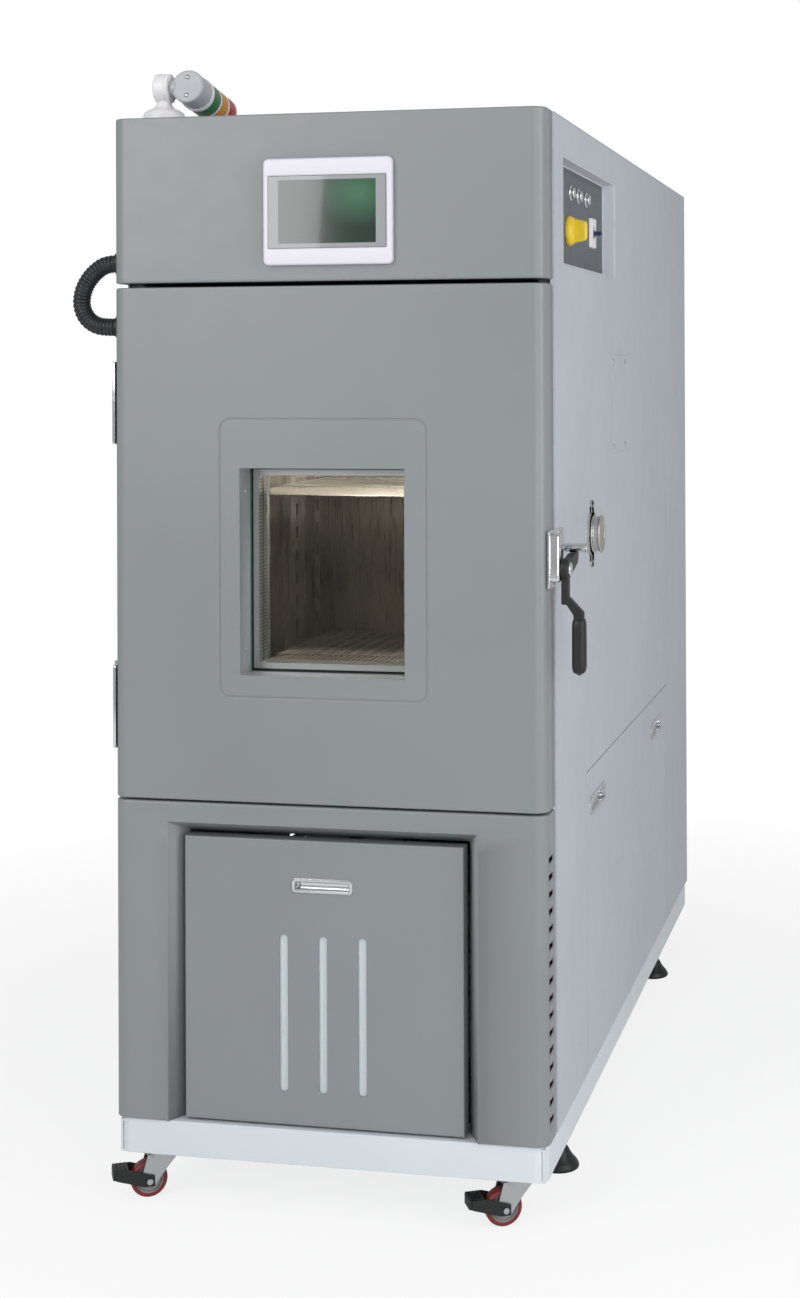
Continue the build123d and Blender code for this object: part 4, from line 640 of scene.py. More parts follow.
def ringCollar(z):
    # the collar on the left edge that takes the hose: a closed section turned once
    profile = [(12.6, 0.0), (15.8, 0.0), (16.0, 1.2), (15.2, 4.9), (12.8, 4.9), (12.6, 0.0)]
    return turned(profile, (hose["side"], hose["y"], z), (-1, 0, 0), sides=40, radius=0)


def makeHeader():
    # the plain pressing between the header's levels, and the hose's upper collar
    points, _, ends = pressing(panels["header"])
    shape = (points.reshape(-1, 3), gridFaces(*points.shape[:2]).tolist() + ends)
    makePiece("headerPressing", *shape, greyPaint, "cabinet", "grey_paint", wall=panels["wall"],
              out=(0, -1, 0), also=("header_fascia",))
    makePiece("headerCollar", *ringCollar(hose["route"][0][1]), blackAbs, "cabinet", "black_plastic")


doorFace = dict(window=((-119.0, 109.0), (719.5, 996.5)), groove=((-149.0, 140.0), (689.0, 1063.5)),
                corner=16.0, wide=3.0, deep=1.2)


def makeDoor():
    points, heights, ends = pressing(panels["door"])
    rows, columns = len(heights), points.shape[1]
    keep = np.ones((rows - 1, columns - 1), bool)
    middleRow = max(range(rows - 1), key=lambda k: heights[k + 1][1] - heights[k][1])
    keep[middleRow, columns // 2 - 1] = False  # the flat of the face, made below with its groove and window
    shell = (points.reshape(-1, 3), gridFaces(rows, columns, keep=keep).tolist() + ends)
    x, z = doorFace["groove"]
    inner = doorFace["wide"]
    r = doorFace["corner"]
    lip = panels["roll"] + panels["strip"]
    # loops out from the window: sheet, down the groove's inner wall, its floor, up the outer wall, sheet
    across, up = doorFace["window"]
    face = stepped(across, up, [(0.0, 0.0, 0.0), (-1, 0.0, 0.0)]) + stepped(x, z, [
        (inner + 1.5, 0.0, r - inner - 1.5),
        (inner + 0.5, 0.0, r - inner - 0.5),
        (inner - 0.1, -0.35, r - inner),
        (inner - 0.5, -doorFace["deep"], r - inner),
        (0.5, -doorFace["deep"], r - 0.5),
        (0.1, -0.35, r),
        (-0.4, 0.0, r + 0.4),
        (-1.4, 0.0, r + 1.4),
    ]) + [((-faceHalf, faceHalf), (panels["door"][0] + lip, panels["door"][1] - lip), 0.0, 0.0)]
    makePiece("doorPressing", *joined(shell, loops(face, front, first=False, last=False)), greyPaint,
              "door", "grey_paint", wall=panels["wall"], out=(0, -1, 0), also=("door_shell",))
    makePiece("doorCollar", *ringCollar(hose["route"][-1][1]), blackAbs, "door", "black_plastic")


fasciaFace = dict(opening=(-223.0, 206.0, 520.0), back=(-205.0, 188.0, 503.0), splay=34.0, louvres=16,
                  louvreZ=(145.0, 506.0), louvreHeight=8.0, louvreY=(12.0, 37.0))


def makeFascia():
    # cells between the louvre rows and inside the opening are left out of the pressing's grid;
    # the reveal is three open frames joined, narrower and deeper inwards
    f = fasciaFace
    pitch = (f["louvreZ"][1] - f["louvreZ"][0]) / f["louvres"]
    edges = []
    for k in range(f["louvres"]):
        start = f["louvreZ"][0] + k * pitch
        edges += [start, start + f["louvreHeight"]]
    edges.append(f["opening"][2])
    turnIn = math.asin((panels["corner"] - f["louvreY"][0]) / panels["corner"])
    angles = np.concatenate([[0, turnIn / 2, turnIn], np.linspace(turnIn, math.pi / 2, 7)[1:]])
    points, heights, ends = pressing(panels["fascia"], (f["louvreY"][1],), f["opening"][:2], angles,
                                     edges)
    rows, columns = points.shape[:2]
    keep = np.ones((rows - 1, columns - 1), bool)
    for k in range(rows - 1):
        low, high = heights[k][1], heights[k + 1][1]
        if high <= f["opening"][2] + 1e-6:
            keep[k, columns // 2 - 1] = False
        if any(abs(low - e) < 1e-6 and abs(high - low - f["louvreHeight"]) < 1e-6 for e in edges):
            keep[k, 1:4] = keep[k, -4:-1] = False
    shell = (points.reshape(-1, 3), gridFaces(rows, columns, keep=keep).tolist() + ends[1:])
    bottom = panels["fascia"][0]
    reveal = []
    for (x0, x1, top), y in ((f["opening"], 0.0), (f["back"], f["splay"]), (f["back"], panels["back"])):
        reveal.append([(x0, y, bottom), (x0, y, top), (x1, y, top), (x1, y, bottom)])
    hopper = (np.array(reveal, float).reshape(-1, 3), gridFaces(3, 4))
    makePiece("fasciaPressing", *joined(shell, hopper), greyPaint, "cabinet", "grey_paint",
              wall=panels["wall"], out=(0, -1, 0), also=("lower_fascia",))


makeHeader()
makeDoor()
makeFascia()
print("front panels made")


# Operator panel
bezel = dict(x=(-82.0, 96.0), z=(1267.0, 1409.0), screenX=(-75.0, 88.0), screenZ=(1289.5, 1385.5),
             proud=9.0)


def makeBezel():
    x, z, proud = bezel["x"], bezel["z"], bezel["proud"]
    sx, sz = bezel["screenX"], bezel["screenZ"]
    # a rounded bar runs round the screen: up from the header, over the crown and down to the screen
    rows = stepped(x, z, [
        (0.0, 0.1, 7.0), (0.0, proud - 3.2, 7.0), (0.5, proud - 1.5, 6.6), (1.7, proud - 0.4, 5.6),
        (3.2, proud, 4.6),
    ]) + stepped(sx, sz, [
        (-2.6, proud - 0.1, 3.2), (-1.0, proud - 0.6, 2.0), (-0.2, proud - 2.0, 1.2),
        (-0.2, proud - 3.9, 1.2),
    ])
    makePiece("operatorBezel", *loops(rows, front), bezelAbs, "cabinet", "bezel_plastic", sharp=50,
              also=("screen_bezel",))


makeBezel()


# Window: panes, spacers and the screws in the reveal
window = dict(x=(-118.7, 108.7), z=(719.8, 996.2), first=42.0, pane=4.0, gap=14.0, spacer=8.0, seal=3.0,
              screwY=22.0, screwZ=(752.0, 964.0), screw=(3.0, 1.4))


def makeWindow():
    # panes are thin pads; spacers and beads are rings whose section closes on itself
    x, z = window["x"], window["z"]
    for k in range(3):
        y = window["first"] + k * (window["pane"] + window["gap"])
        makePiece(f"pane{k + 1}", *pad(x, z, -y - window["pane"], -y, 0.5, 0.4, front), paneGlass, "door",
                  "glass", also=("window_panes",) if k == 0 else ())
        if k == 2:
            break
        back, near = -y - window["pane"] - window["gap"] + 0.1, -y - window["pane"] - 0.1
        inset = window["seal"] + window["spacer"]
        bar = stepped(x, z, [
            (3.0, back, 0.3), (3.0, near, 0.3),
            (inset, near, 0.8), (inset, back, 0.8),
            (3.0, back, 0.3),
        ])
        makePiece(f"spacer{k + 1}", *loops(bar, front, first=False, last=False), spacerBar, "door",
                  "zinc")
        bead = stepped(x, z, [
            (0.3, back, 0.3), (0.3, near, 0.3),
            (2.95, near - 0.6, 0.3), (2.95, back + 0.6, 0.3),
            (0.3, back, 0.3),
        ])
        makePiece(f"sealant{k + 1}", *loops(bead, front, first=False, last=False), darkGap, "door",
                  "seal_rubber")
    for side, edge, way in zip(("Left", "Right"), doorFace["window"][0], (1, -1)):
        heads = [(edge, window["screwY"], level) for level in window["screwZ"]]
        makeScrews(f"revealScrews{side}", heads, (way, 0, 0), window["screw"], "door")


makeWindow()
print("operator panel and window made")


# Folded signal lamp
lampParts = dict(x=-262.0, y=93.0, roof=1470.0, pivot=52.0, fold=9.0, axis=-224.0, radius=23.5, lead=10.0,
                 body=36.0, ring=9.0, lens=27.0, gap=4.0, ribs=30, screw=(3.2, 1.5))
lampPivot = np.array([lampParts["axis"], lampParts["y"], lampParts["roof"] + lampParts["pivot"]])


def makeLampFoot():
    # profiles turned round the foot's upright axis and the hinge's level axis
    p, pivot = lampParts, lampPivot
    foot = [(0, 0), (31, 0), (31, 2.6), (29.6, 3.4), (29, 13.5), (27.4, 17.5), (22, 21.5), (15, 24),
            (11, 29), (9, 36), (9, 42)]
    base = turned(foot, (p["x"], p["y"], p["roof"]), (0, 0, 1), sides=64, radius=1.4)
    drum = [(0, -11), (17.4, -11), (20.2, -9.2), (20.5, -6), (20.5, 6.5), (19.4, 7.2), (19.4, 11),
            (0, 11)]
    knuckle = turned(drum, (p["x"], p["y"], pivot[2]), (1, 0, 0), sides=64, radius=0.7)
    cap = turned([(0, 0), (8.4, 0), (8.4, -1.6), (6.6, -2.6), (0, -2.8)],
                 (p["x"] - 9.4, p["y"], pivot[2]), (1, 0, 0), sides=32)
    makePiece("lampFoot", *joined(base, knuckle, cap), whiteAbs, "cabinet", "lamp_plastic",
              also=("lamp_base",))
    # toothed ring: the radius rises and falls along the angle, 36 times a turn
    teeth = turned([(13.0, 7.3), (19.9, 7.3), (19.9, 10.8), (13.0, 10.8)], (p["x"], p["y"], pivot[2]),
                   (1, 0, 0), sides=144, radius=0, wave=lambda t: 1 + 0.022 * np.sign(np.sin(36 * t)))
    makePiece("lampTeeth", *teeth, whiteAbs, "cabinet", "lamp_plastic", sharp=50)


def makeLampHead():
    # profiles turned round the folded column's axis; the stub is turned round the hinge's
    p, pivot = lampParts, lampPivot
    fold = math.radians(p["fold"])
    along = np.array([0, math.cos(fold), -math.sin(fold)])
    r, z = p["radius"], p["body"] - p["lead"]
    head = [(0, -p["lead"]), (r - 2.6, -p["lead"]), (r - 0.8, -p["lead"] + 0.7), (r, -p["lead"] + 2.4),
            (r, -p["lead"] + 6), (r - 0.5, -p["lead"] + 6.6), (r - 0.5, z)]
    body = turned(head, pivot, along, sides=72, radius=0.6)
    stub = turned([(8, 0), (12, 0), (12, 8), (10, 9.5), (8, 17), (8, 20)],
                  (p["x"] + 11.5, p["y"], pivot[2]), (1, 0, 0), sides=40, radius=0.5)
    makePiece("lampBody", *joined(body, stub), greyAbs, "lamp", "lamp_plastic", also=("lamp_housing",))
    ring = [(0, z), (r + 1, z), (r + 1, z + p["ring"] - 1.2), (r, z + p["ring"]), (0, z + p["ring"])]
    rings = [turned(ring, pivot, along, sides=72, radius=0.6)]
    z += p["ring"]
    for k, finish in enumerate((greenLens, amberLens, redLens)):
        # the lens wall follows fine flutes along its length
        wall = [(r - 2.4, z + 0.2), (r - 0.3, z + 0.2), (r - 0.3, z + p["lens"] - 0.2),
                (r - 2.4, z + p["lens"] - 0.2)]
        tube = turned(wall, pivot, along, sides=180, radius=0.5,
                      wave=lambda t: 1 + 0.012 * np.cos(p["ribs"] * t))
        makePiece(("greenLens", "amberLens", "redLens")[k], *tube, finish, "lamp", "lens_plastic",
                  sharp=60, also=("lamp_lenses",) if k == 0 else ())
        z += p["lens"]
        rings.append(turned([(0, z), (r, z), (r, z + p["gap"]), (0, z + p["gap"])], pivot, along,
                            sides=72, radius=0.5))
        z += p["gap"]
    rings.append(turned([(0, z), (r - 3, z), (r - 4, z + 3), (r - 7, z + 3.9), (0, z + 3.9)], pivot,
                        along, sides=72, radius=0.8))
    rings.append(turned([(0, p["body"] - p["lead"]), (6, p["body"] - p["lead"]), (6, z)], pivot, along,
                        sides=24, radius=0))
    makePiece("lampRings", *joined(*rings), whiteAbs, "lamp", "lamp_plastic")
    upDirection = np.cross((1, 0, 0), along)
    heads = [pivot - along * p["lead"] + upDirection * side * 13.0 for side in (-1, 1)]
    makeScrews("lampScrews", heads, -along, p["screw"], "lamp")


makeLampFoot()
makeLampHead()
print("signal lamp made")


# Latch
latch = dict(pivot=(26.0, 866.0), base=((6.0, 44.0), (841.0, 917.0)), lever=(315.0, 325.0),
             roller=(80.0, 889.0), tip=338.0, grip=((329.0, 347.0), (727.0, 806.0)), gripWide=12.0,
             gripTaper=2.0, gripCorner=6.5, strike=((66.0, 102.0), (863.0, 915.0)),
             baseScrew=(1.9, 1.0), strikeScrew=(3.4, 1.5))


def makeLatchBase():
    # two stacked pads on the side with a turned pin
    y, z = latch["base"]
    py, pz = latch["pivot"]
    x0 = latch["lever"][0]
    base = pad(y, z, flank, plateFace, 3.0, 1.0, right)
    body = pad(shrunk(y, 4.0), (z[0] + 8, z[1] - 4), flank + 1.0, x0 - 0.3, 6.0, 3.0, right)
    pin = turned([(0, 0), (4.9, 0), (4.9, 10.4), (9, 10.6), (9, 13), (7.4, 14.3), (0, 14.5)],
                 (x0 - 0.8, py, pz), (1, 0, 0), sides=40)
    makePiece("latchBase", *joined(base, body, pin), chrome, "door", "chrome", also=("latch_base",))
    heads = [(plateFace, place, z[0] + 4.0) for place in shrunk(y, 4.1)]
    makeScrews("latchBaseScrews", heads, (1, 0, 0), latch["baseScrew"], "door")


def makeLatchLever():
    # a turned hub, two outlines drawn out sideways and forwards, and a grip of stacked ovals
    py, pz = latch["pivot"]
    x0, x1 = latch["lever"]
    hub = turned([(5.4, 0), (13, 0), (14, 1.2), (14, 8.8), (13, 10), (5.4, 10), (5.4, 0)], (x0, py, pz),
                 (1, 0, 0), sides=48, radius=0.6)
    ry, rz = latch["roller"]
    top = rz - 6.8
    jaw = [(py + 6, pz - 12), (ry + 10, top - 13), (ry + 14, top - 6), (ry + 14, top), (ry - 12, top),
           (py + 8, pz + 11)]
    nose = prism(jaw, (x0, x1), right, 0.9)
    neck = boxShape((x0 + 0.2, x1 - 0.2), about(py, 7), (820.0, pz - 8), 1.2)
    gx, gz = latch["grip"]
    crank = [(x0, gz[1] + 24), (x1, gz[1] + 24), (gx[1] - 3, gz[1] + 4), (gx[1] - 3, gz[1] - 8),
             (gx[0] + 3, gz[1] - 8), (gx[0] + 2, gz[1] + 1)]
    step = prism(crank, (-py - 6.8, -py + 6.8), front, 0.9)
    rows = []
    # the grip narrows upwards, and both ends close along a curve of the eighth power
    for k in np.linspace(0, 1, 17):
        level = gz[0] + k * (gz[1] - gz[0])
        end = min(1.0, math.sqrt(max(0.0, 1 - (abs(2 * k - 1)) ** 8)) + 0.02)
        wide = latch["gripWide"] - latch["gripTaper"] * k
        rows.append((about(sum(gx) / 2, 9 * end), about(py, wide * end), level,
                     latch["gripCorner"] * end))
    grip = loops(rows, upward, arc=6)
    makePiece("latchLever", *joined(hub, nose, neck, step, grip), blackAbs, "latch_lever",
              "black_plastic", sharp=45, also=("latch_lever",))


def makeStrike():
    # a pad with a stud, a tube round it and a flat head, all turned round the roller's axis
    ry, rz = latch["roller"]
    strike = pad(*latch["strike"], flank, plateFace, 3.0, 1.0, right)
    stud = turned([(0, 0), (3.5, 0), (3.5, 36), (0, 36)], (flank + 2.0, ry, rz), (1, 0, 0), sides=24,
                  radius=0)
    roller = turned([(3.6, 0), (5.2, 0), (6, 0.8), (6, 29.2), (5.2, 30), (3.6, 30), (3.6, 0)],
                    (flank + 8.0, ry, rz), (1, 0, 0), sides=40, radius=0.4)
    head = turned([(0, 0), (7.4, 0), (7.4, 1.1), (6.2, 1.9), (0, 2)], (latch["tip"], ry, rz), (1, 0, 0),
                  sides=40, radius=0.4)
    makePiece("latchStrike", *joined(strike, stud, roller, head), chrome, "cabinet", "chrome",
              also=("latch_strike",))
    heads = [(plateFace, ry + 4, rz + side * 18) for side in (-1, 1)]
    makeScrews("strikeScrews", heads, (1, 0, 0), latch["strikeScrew"], "cabinet")


makeLatchBase()
makeLatchLever()
makeStrike()


# Hinges
hinges = dict(x=-flank - 12.0, y=56.0, levels=(671.0, 1084.0), height=112.0, radius=9.5, bore=4.0,
              leaf=4.0, doorLeaf=(8.0, 46.1), cabinetLeaf=(65.9, 102.0), screwPitch=38.0, reach=4.0,
              armX=(-flank - 17.5, -flank - 0.6), play=0.4, screw=(3.6, 1.4))


def makeHinges():
    # three knuckles share a pin: the middle one is the door's, the outer two the cabinet's
    left = ((0, -1, 0), (0, 0, 1), (-1, 0, 0))
    third = hinges["height"] / 3
    r, bore = hinges["radius"], hinges["bore"]
    doorShapes, cabinetShapes, doorHeads, cabinetHeads = [], [], [], []
    for level in hinges["levels"]:
        low, high = about(level, hinges["height"] / 2)
        for shapes, heads, y, spans in (
            (doorShapes, doorHeads, hinges["doorLeaf"],
             [shrunk((low + third, low + 2 * third), hinges["play"])]),
            (cabinetShapes, cabinetHeads, hinges["cabinetLeaf"],
             [(low, low + third), (low + 2 * third, high)]),
        ):
            shapes.append(pad((-y[1], -y[0]), (low, high), flank, flank + hinges["leaf"], 2.5, 0.9, left))
            for span in spans:
                tall = span[1] - span[0]
                knuckle = [(bore, 0), (r - 0.8, 0), (r, 0.9), (r, tall - 0.9), (r - 0.8, tall),
                           (bore, tall)]
                shapes.append(turned(knuckle, (hinges["x"], hinges["y"], span[0]), (0, 0, 1), sides=40,
                                     radius=0.4))
                way = -1 if y[1] < hinges["y"] else 1
                near = y[0] if way > 0 else y[1]
                arm = sorted(place + hinges["reach"] * way for place in (hinges["y"], near))
                shapes.append(boxShape(hinges["armX"], arm, shrunk(span, 0.3), 0.8))
            middleY = sum(y) / 2
            heads += [(-flank - hinges["leaf"], middleY, level + k * hinges["screwPitch"])
                      for k in (-1, 0, 1)]
        end = hinges["height"] - 2
        pin = [(0, 0), (bore - 1, 0), (bore, 1), (bore, end - 1), (bore - 1, end), (0, end)]
        doorShapes.append(turned(pin, (hinges["x"], hinges["y"], low + 1), (0, 0, 1), sides=24,
                                 radius=0.4))
    makePiece("doorLeaves", *joined(*doorShapes), chrome, "door", "chrome", also=("door_hinge_leaves",))
    makePiece("cabinetLeaves", *joined(*cabinetShapes), chrome, "cabinet", "chrome",
              also=("cabinet_hinge_leaves",))
    makeScrews("doorLeafScrews", doorHeads, (-1, 0, 0), hinges["screw"], "door")
    makeScrews("cabinetLeafScrews", cabinetHeads, (-1, 0, 0), hinges["screw"], "cabinet")


makeHinges()
print("latch and hinges made")


# Test port
port = dict(y=330.0, z=888.0, ear=40.0, radius=28.0, length=14.0, tube=21.5, screw=(3.6, 1.6))


def makePort():
    # an oval pad and a turned disc for the flange, and a plug turned about the same axis
    y, z = port["y"], port["z"]
    ears = pad(about(y, 9), about(z, 49), flank, plateFace, 8.9, 0.9, right)
    disc = turned([(21, 0), (33, 0), (33, 2.2), (32.2, 3.0), (21, 3.0)], (flank, y, z), (1, 0, 0),
                  sides=64, radius=0.5)
    makePiece("portFlange", *joined(ears, disc), stainlessAcross, "cabinet", "stainless")
    heads = [(plateFace, y, z + side * port["ear"]) for side in (-1, 1)]
    makeScrews("portScrews", heads, (1, 0, 0), port["screw"], "cabinet")
    # the plug's profile: hollow end, flange, drawn-in barrel and rolled rim
    r, end, tube = port["radius"], port["length"], port["tube"]
    cap = [(0, -4), (tube - 4, -4), (tube - 4, -60), (tube - 0.7, -60), (tube, -59), (tube, 0), (r, 0),
           (r, 2.6), (r - 1.4, 3.4), (r - 2.6, 4.2), (r - 2.6, end - 3.4), (r - 0.6, end - 2.8),
           (r, end - 1.6), (r - 0.8, end - 0.3), (r - 3, end), (r - 4.4, end - 1.2), (r - 5.2, end - 2.2),
           (0, end - 2.4)]
    plug = turned(cap, (flank + 3.3, y, z), (1, 0, 0), sides=72, radius=0.7)
    makePiece("portCap", *plug, stainlessAcross, "port_cap", "stainless", also=("test_port_cap",))


makePort()


# Sunk control tray
tray = dict(y=(125.3, 555.7), z=(1270.3, 1417.7), face=flank, floor=flank - 20.0,
            buttons=(281.0, 340.0, 405.0), buttonZ=1381.0,
            knob=(262.0, 1325.0), breaker=((436.0, 472.0), (1312.0, 1357.0)),
            toggle=((446.0, 462.0), 1334.0))
knobBar = dict(half=18.0, taper=4.6, wide=5.8, corner=4.6, start=8.5, tall=19.7)


def makeTraySheet():
    y, z, face, floor = tray["y"], tray["z"], tray["face"], tray["floor"]
    # the sheet turns in from the side, runs down the walls and across the floor, then back up outside
    rows = stepped(y, z, [
        (0.0, floor - 1.5, 1.0), (0.0, face, 1.0), (0.7, face - 0.1, 1.0), (1.5, face - 0.7, 1.0),
        (1.6, floor, 1.0),
    ])
    makePiece("trayFolded", *loops(rows, right), trayPaint, "cabinet", "tray_paint",
              also=("control_tray",))
    by, bz = tray["breaker"]
    low, high = floor + 0.02, floor + 0.22
    around = stepped(y, z, [(4.0, low, 2.0), (4.0, high, 2.0)])
    hole = stepped(by, bz, [(-0.2, high, 1.0), (-0.2, low, 1.0)])
    makePiece("trayLabelPlate", *loops(around + hole + around[:1], right, first=False, last=False),
              platePaint, "cabinet", "dark_paint")


def makeButtons():
    # collars and plungers turned round level axes
    floor = tray["floor"]
    shapes = []
    for buttonY in tray["buttons"]:
        collar = [(8.3, 0), (11.5, 0), (11.5, 1.6), (10.4, 2.8), (8.9, 3.0), (8.3, 2.4), (8.3, 0)]
        shapes.append(turned(collar, (floor, buttonY, tray["buttonZ"]), (1, 0, 0), sides=48, radius=0.3))
    makePiece("buttonCollars", *joined(*shapes), chrome, "cabinet", "chrome")
    for k, buttonY in enumerate(tray["buttons"], 1):
        plunger = [(0, -14), (7.6, -14), (7.9, -13.6), (7.9, 5.6), (7.4, 6.9), (6, 7.6), (3.4, 7.95),
                   (0, 8)]
        shape = turned(plunger, (floor, buttonY, tray["buttonZ"]), (1, 0, 0), sides=48, radius=0.6)
        makePiece(f"button{k}", *shape, chrome, f"button_{k}", "chrome", also=(f"push_button_{k}",))


def makeKnob():
    # a turned skirt and stem under a bar of stacked rounded rectangles
    floor = tray["floor"]
    ky, kz = tray["knob"]
    skirt = turned([(0, 0.3), (21.4, 0.3), (21.4, 4.2), (20.2, 6.6), (18.4, 9.6), (0, 9.6)],
                   (floor, ky, kz), (1, 0, 0), sides=64)
    stem = turned([(0, -24.7), (4.9, -24.7), (4.9, 2), (0, 2)], (floor, ky, kz), (1, 0, 0), sides=24,
                  radius=0)
    bar = []
    # the grip bar narrows towards its end and its crown follows a quarter round
    for t in np.linspace(0, 1, 9):
        half = knobBar["half"] - knobBar["taper"] * t
        crown = math.sqrt(max(0.0, 1 - max(0.0, (t - 0.8) / 0.2) ** 2 * 0.75))
        bar.append((about(ky, knobBar["wide"] * crown), about(kz, half * (0.6 + 0.4 * crown)),
                    floor + knobBar["start"] + t * knobBar["tall"], knobBar["corner"] * crown))
    makePiece("powerKnob", *joined(skirt, stem, loops(bar, right)), yellowAbs, "knob", "yellow_plastic",
              also=("main_switch_knob",))


def makeBreaker():
    # one outline stepped in to the toggle's slot; the toggle is a turned drum with a thin pad on it
    floor = tray["floor"]
    by, bz = tray["breaker"]
    ty, tz = tray["toggle"]
    body = stepped(by, bz, [
        (0.3, floor - 60.0, 1.0), (0.3, floor + 3.8, 1.5), (0.8, floor + 4.7, 1.5),
        (1.6, floor + 5.0, 1.5),
    ]) + [
        (shrunk(ty, -1.3), about(tz, 9.4), floor + 5.0, 1.0),
        (shrunk(ty, -1.0), about(tz, 9.0), floor + 4.4, 1.0),
        (shrunk(ty, -1.0), about(tz, 9.0), floor - 10.0, 1.0),
    ]
    makePiece("breakerBody", *loops(body, right), whiteAbs, "cabinet", "tray_paint")
    drum = turned([(0, 0), (6.6, 0), (7, 0.5), (7, 15.5), (6.6, 16), (0, 16)], (floor, ty[0], tz),
                  (0, 1, 0), sides=40, radius=0.3)
    blade = pad(shrunk(ty, 0.4), about(tz, 2.9), floor + 2.0, floor + 16.8, 1.2, 1.4, right)
    pin = turned([(0, 0), (1.9, 0), (1.9, 23.6), (0, 23.6)], (floor, ty[0] - 3.8, tz), (0, 1, 0),
                 sides=16, radius=0)
    makePiece("toggleLever", *joined(drum, blade, pin), blueAbs, "toggle", "blue_plastic",
              also=("breaker_toggle",))


makeTraySheet()
makeButtons()
makeKnob()
makeBreaker()
print("port and control tray made")


# Side panel trim: cover-plate screws, lock dishes and paddles
sideTrim = dict(cover=((530.0, 640.0), (1008.0, 1140.0)), locks=(374.0, 981.0), lockZ=494.0, length=133.0,
                height=28.0, screw=(3.9, 1.9))


def makeSideTrim():
    # a dish is one ring shrunk step by step; a paddle is a pad with a turned key on it
    heads = [(flank + 1.2, y, z) for y in sideTrim["cover"][0] for z in sideTrim["cover"][1]]
    makeScrews("coverScrews", heads, (1, 0, 0), sideTrim["screw"], "cabinet")
    z = sideTrim["lockZ"]
    for k, y in enumerate(sideTrim["locks"]):
        name = ("front", "rear")[k]
        across, up = about(y, sideTrim["length"] / 2), about(z, sideTrim["height"] / 2)
        # rolled flange over the sheet, then down a straight wall to the floor of the dish
        rows = stepped(across, up, [
            (-0.15, flank, 14.1), (-0.15, flank + 1.4, 14.1),
            (0.5, flank + 2.1, 13.4), (3.4, flank + 2.15, 10.5),
            (4.3, flank + 1.6, 9.6), (4.65, flank + 0.4, 9.3),
            (4.65, flank - 8.9, 9.3),
        ])
        makePiece(f"{name}LockDish", *loops(rows, right, arc=8, first=False), chrome, "access_door",
                  "chrome", out=(1, 0, 0))
        half = (sideTrim["length"] - 10.2) / 2
        paddle = pad(about(y, half), about(z, 8.9), flank - 8.3, flank - 2.5, 8.8, 1.6, right)
        key = turned([(0, 0), (7.2, 0), (7.2, 2.2), (6.2, 3.2), (0, 3.3)],
                     (flank - 3.2, y - half + 18, z), (1, 0, 0), sides=40, radius=0.4)
        makePiece(f"{name}Paddle", *joined(paddle, key), chrome, f"{name}_lock", "chrome",
                  also=(f"lock_paddle_{name}",))


makeSideTrim()


# Drawer: pull and gauge strips
drawer = dict(pullX=(-50.5, 33.5), pullZ=(430.5, 449.5), slots=(-62.6, -8.1, 46.5), slotZ=(164.0, 374.0))


def makeDrawerTrim():
    # the pull's rim rolls over the sheet and drops into the pocket; strips are thin pads
    x, z = drawer["pullX"], drawer["pullZ"]
    rows = stepped(x, z, [
        (-0.15, -9.9, 5.1), (-0.15, -9.2, 5.1),
        (0.7, -8.75, 4.4), (3.6, -8.75, 3.0),
        (4.8, -9.6, 2.4), (5.2, -20.2, 2.2),
    ])
    makePiece("drawerPull", *loops(rows, front, first=False), chrome, "drawer", "chrome", out=(0, -1, 0))
    up = shrunk(drawer["slotZ"], -4)
    strips = [pad(about(s, 8.5), up, -15.2, -12.7, 3.0, 0.5, front) for s in drawer["slots"]]
    makePiece("gaugeStrips", *joined(*strips), frostedAcrylic, "drawer", "tank_plastic")


makeDrawerTrim()
print("locks and drawer trim made")


# Shelf mesh
shelfWire = dict(half=168.0, y=(112.0, 360.0), levels=(706.0, 956.0), pitch=9.0, wire=0.8, sunk=1.6,
                 inset=4.0)


def makeMesh():
    # straight wires a pitch apart, one layer along and one across below it
    half, wire, inset = shelfWire["half"], shelfWire["wire"], shelfWire["inset"]
    near, far = shelfWire["y"]
    for k, level in enumerate(shelfWire["levels"]):
        shapes, top = [], level - shelfWire["sunk"]
        for x in np.arange(-half + inset, half, shelfWire["pitch"]):
            shapes.append(carried([(x, y, top) for y in (near, far)], wire, 5))
        for y in np.arange(near + inset, far, shelfWire["pitch"]):
            shapes.append(carried([(x, y, top - 1.5 * wire) for x in (-half, half)], wire, 5))
        makePiece(f"shelfMesh{k + 1}", *joined(*shapes), stainless, "cabinet", "stainless", sharp=80)


# Casters and feet
rolling = dict(radius=25.0, half=10.0, trail=20.0, places={
    "front_left": (-248.0, 45.0, 208.0), "front_right": (248.0, 45.0, 208.0),
    "rear_left": (-248.0, 1345.0, 25.0), "rear_right": (248.0, 1345.0, 155.0)})
feetAt = dict(front_left=(-266.0, 240.0), front_right=(266.0, 240.0), rear_left=(-266.0, 1155.0),
              rear_right=(266.0, 1155.0))


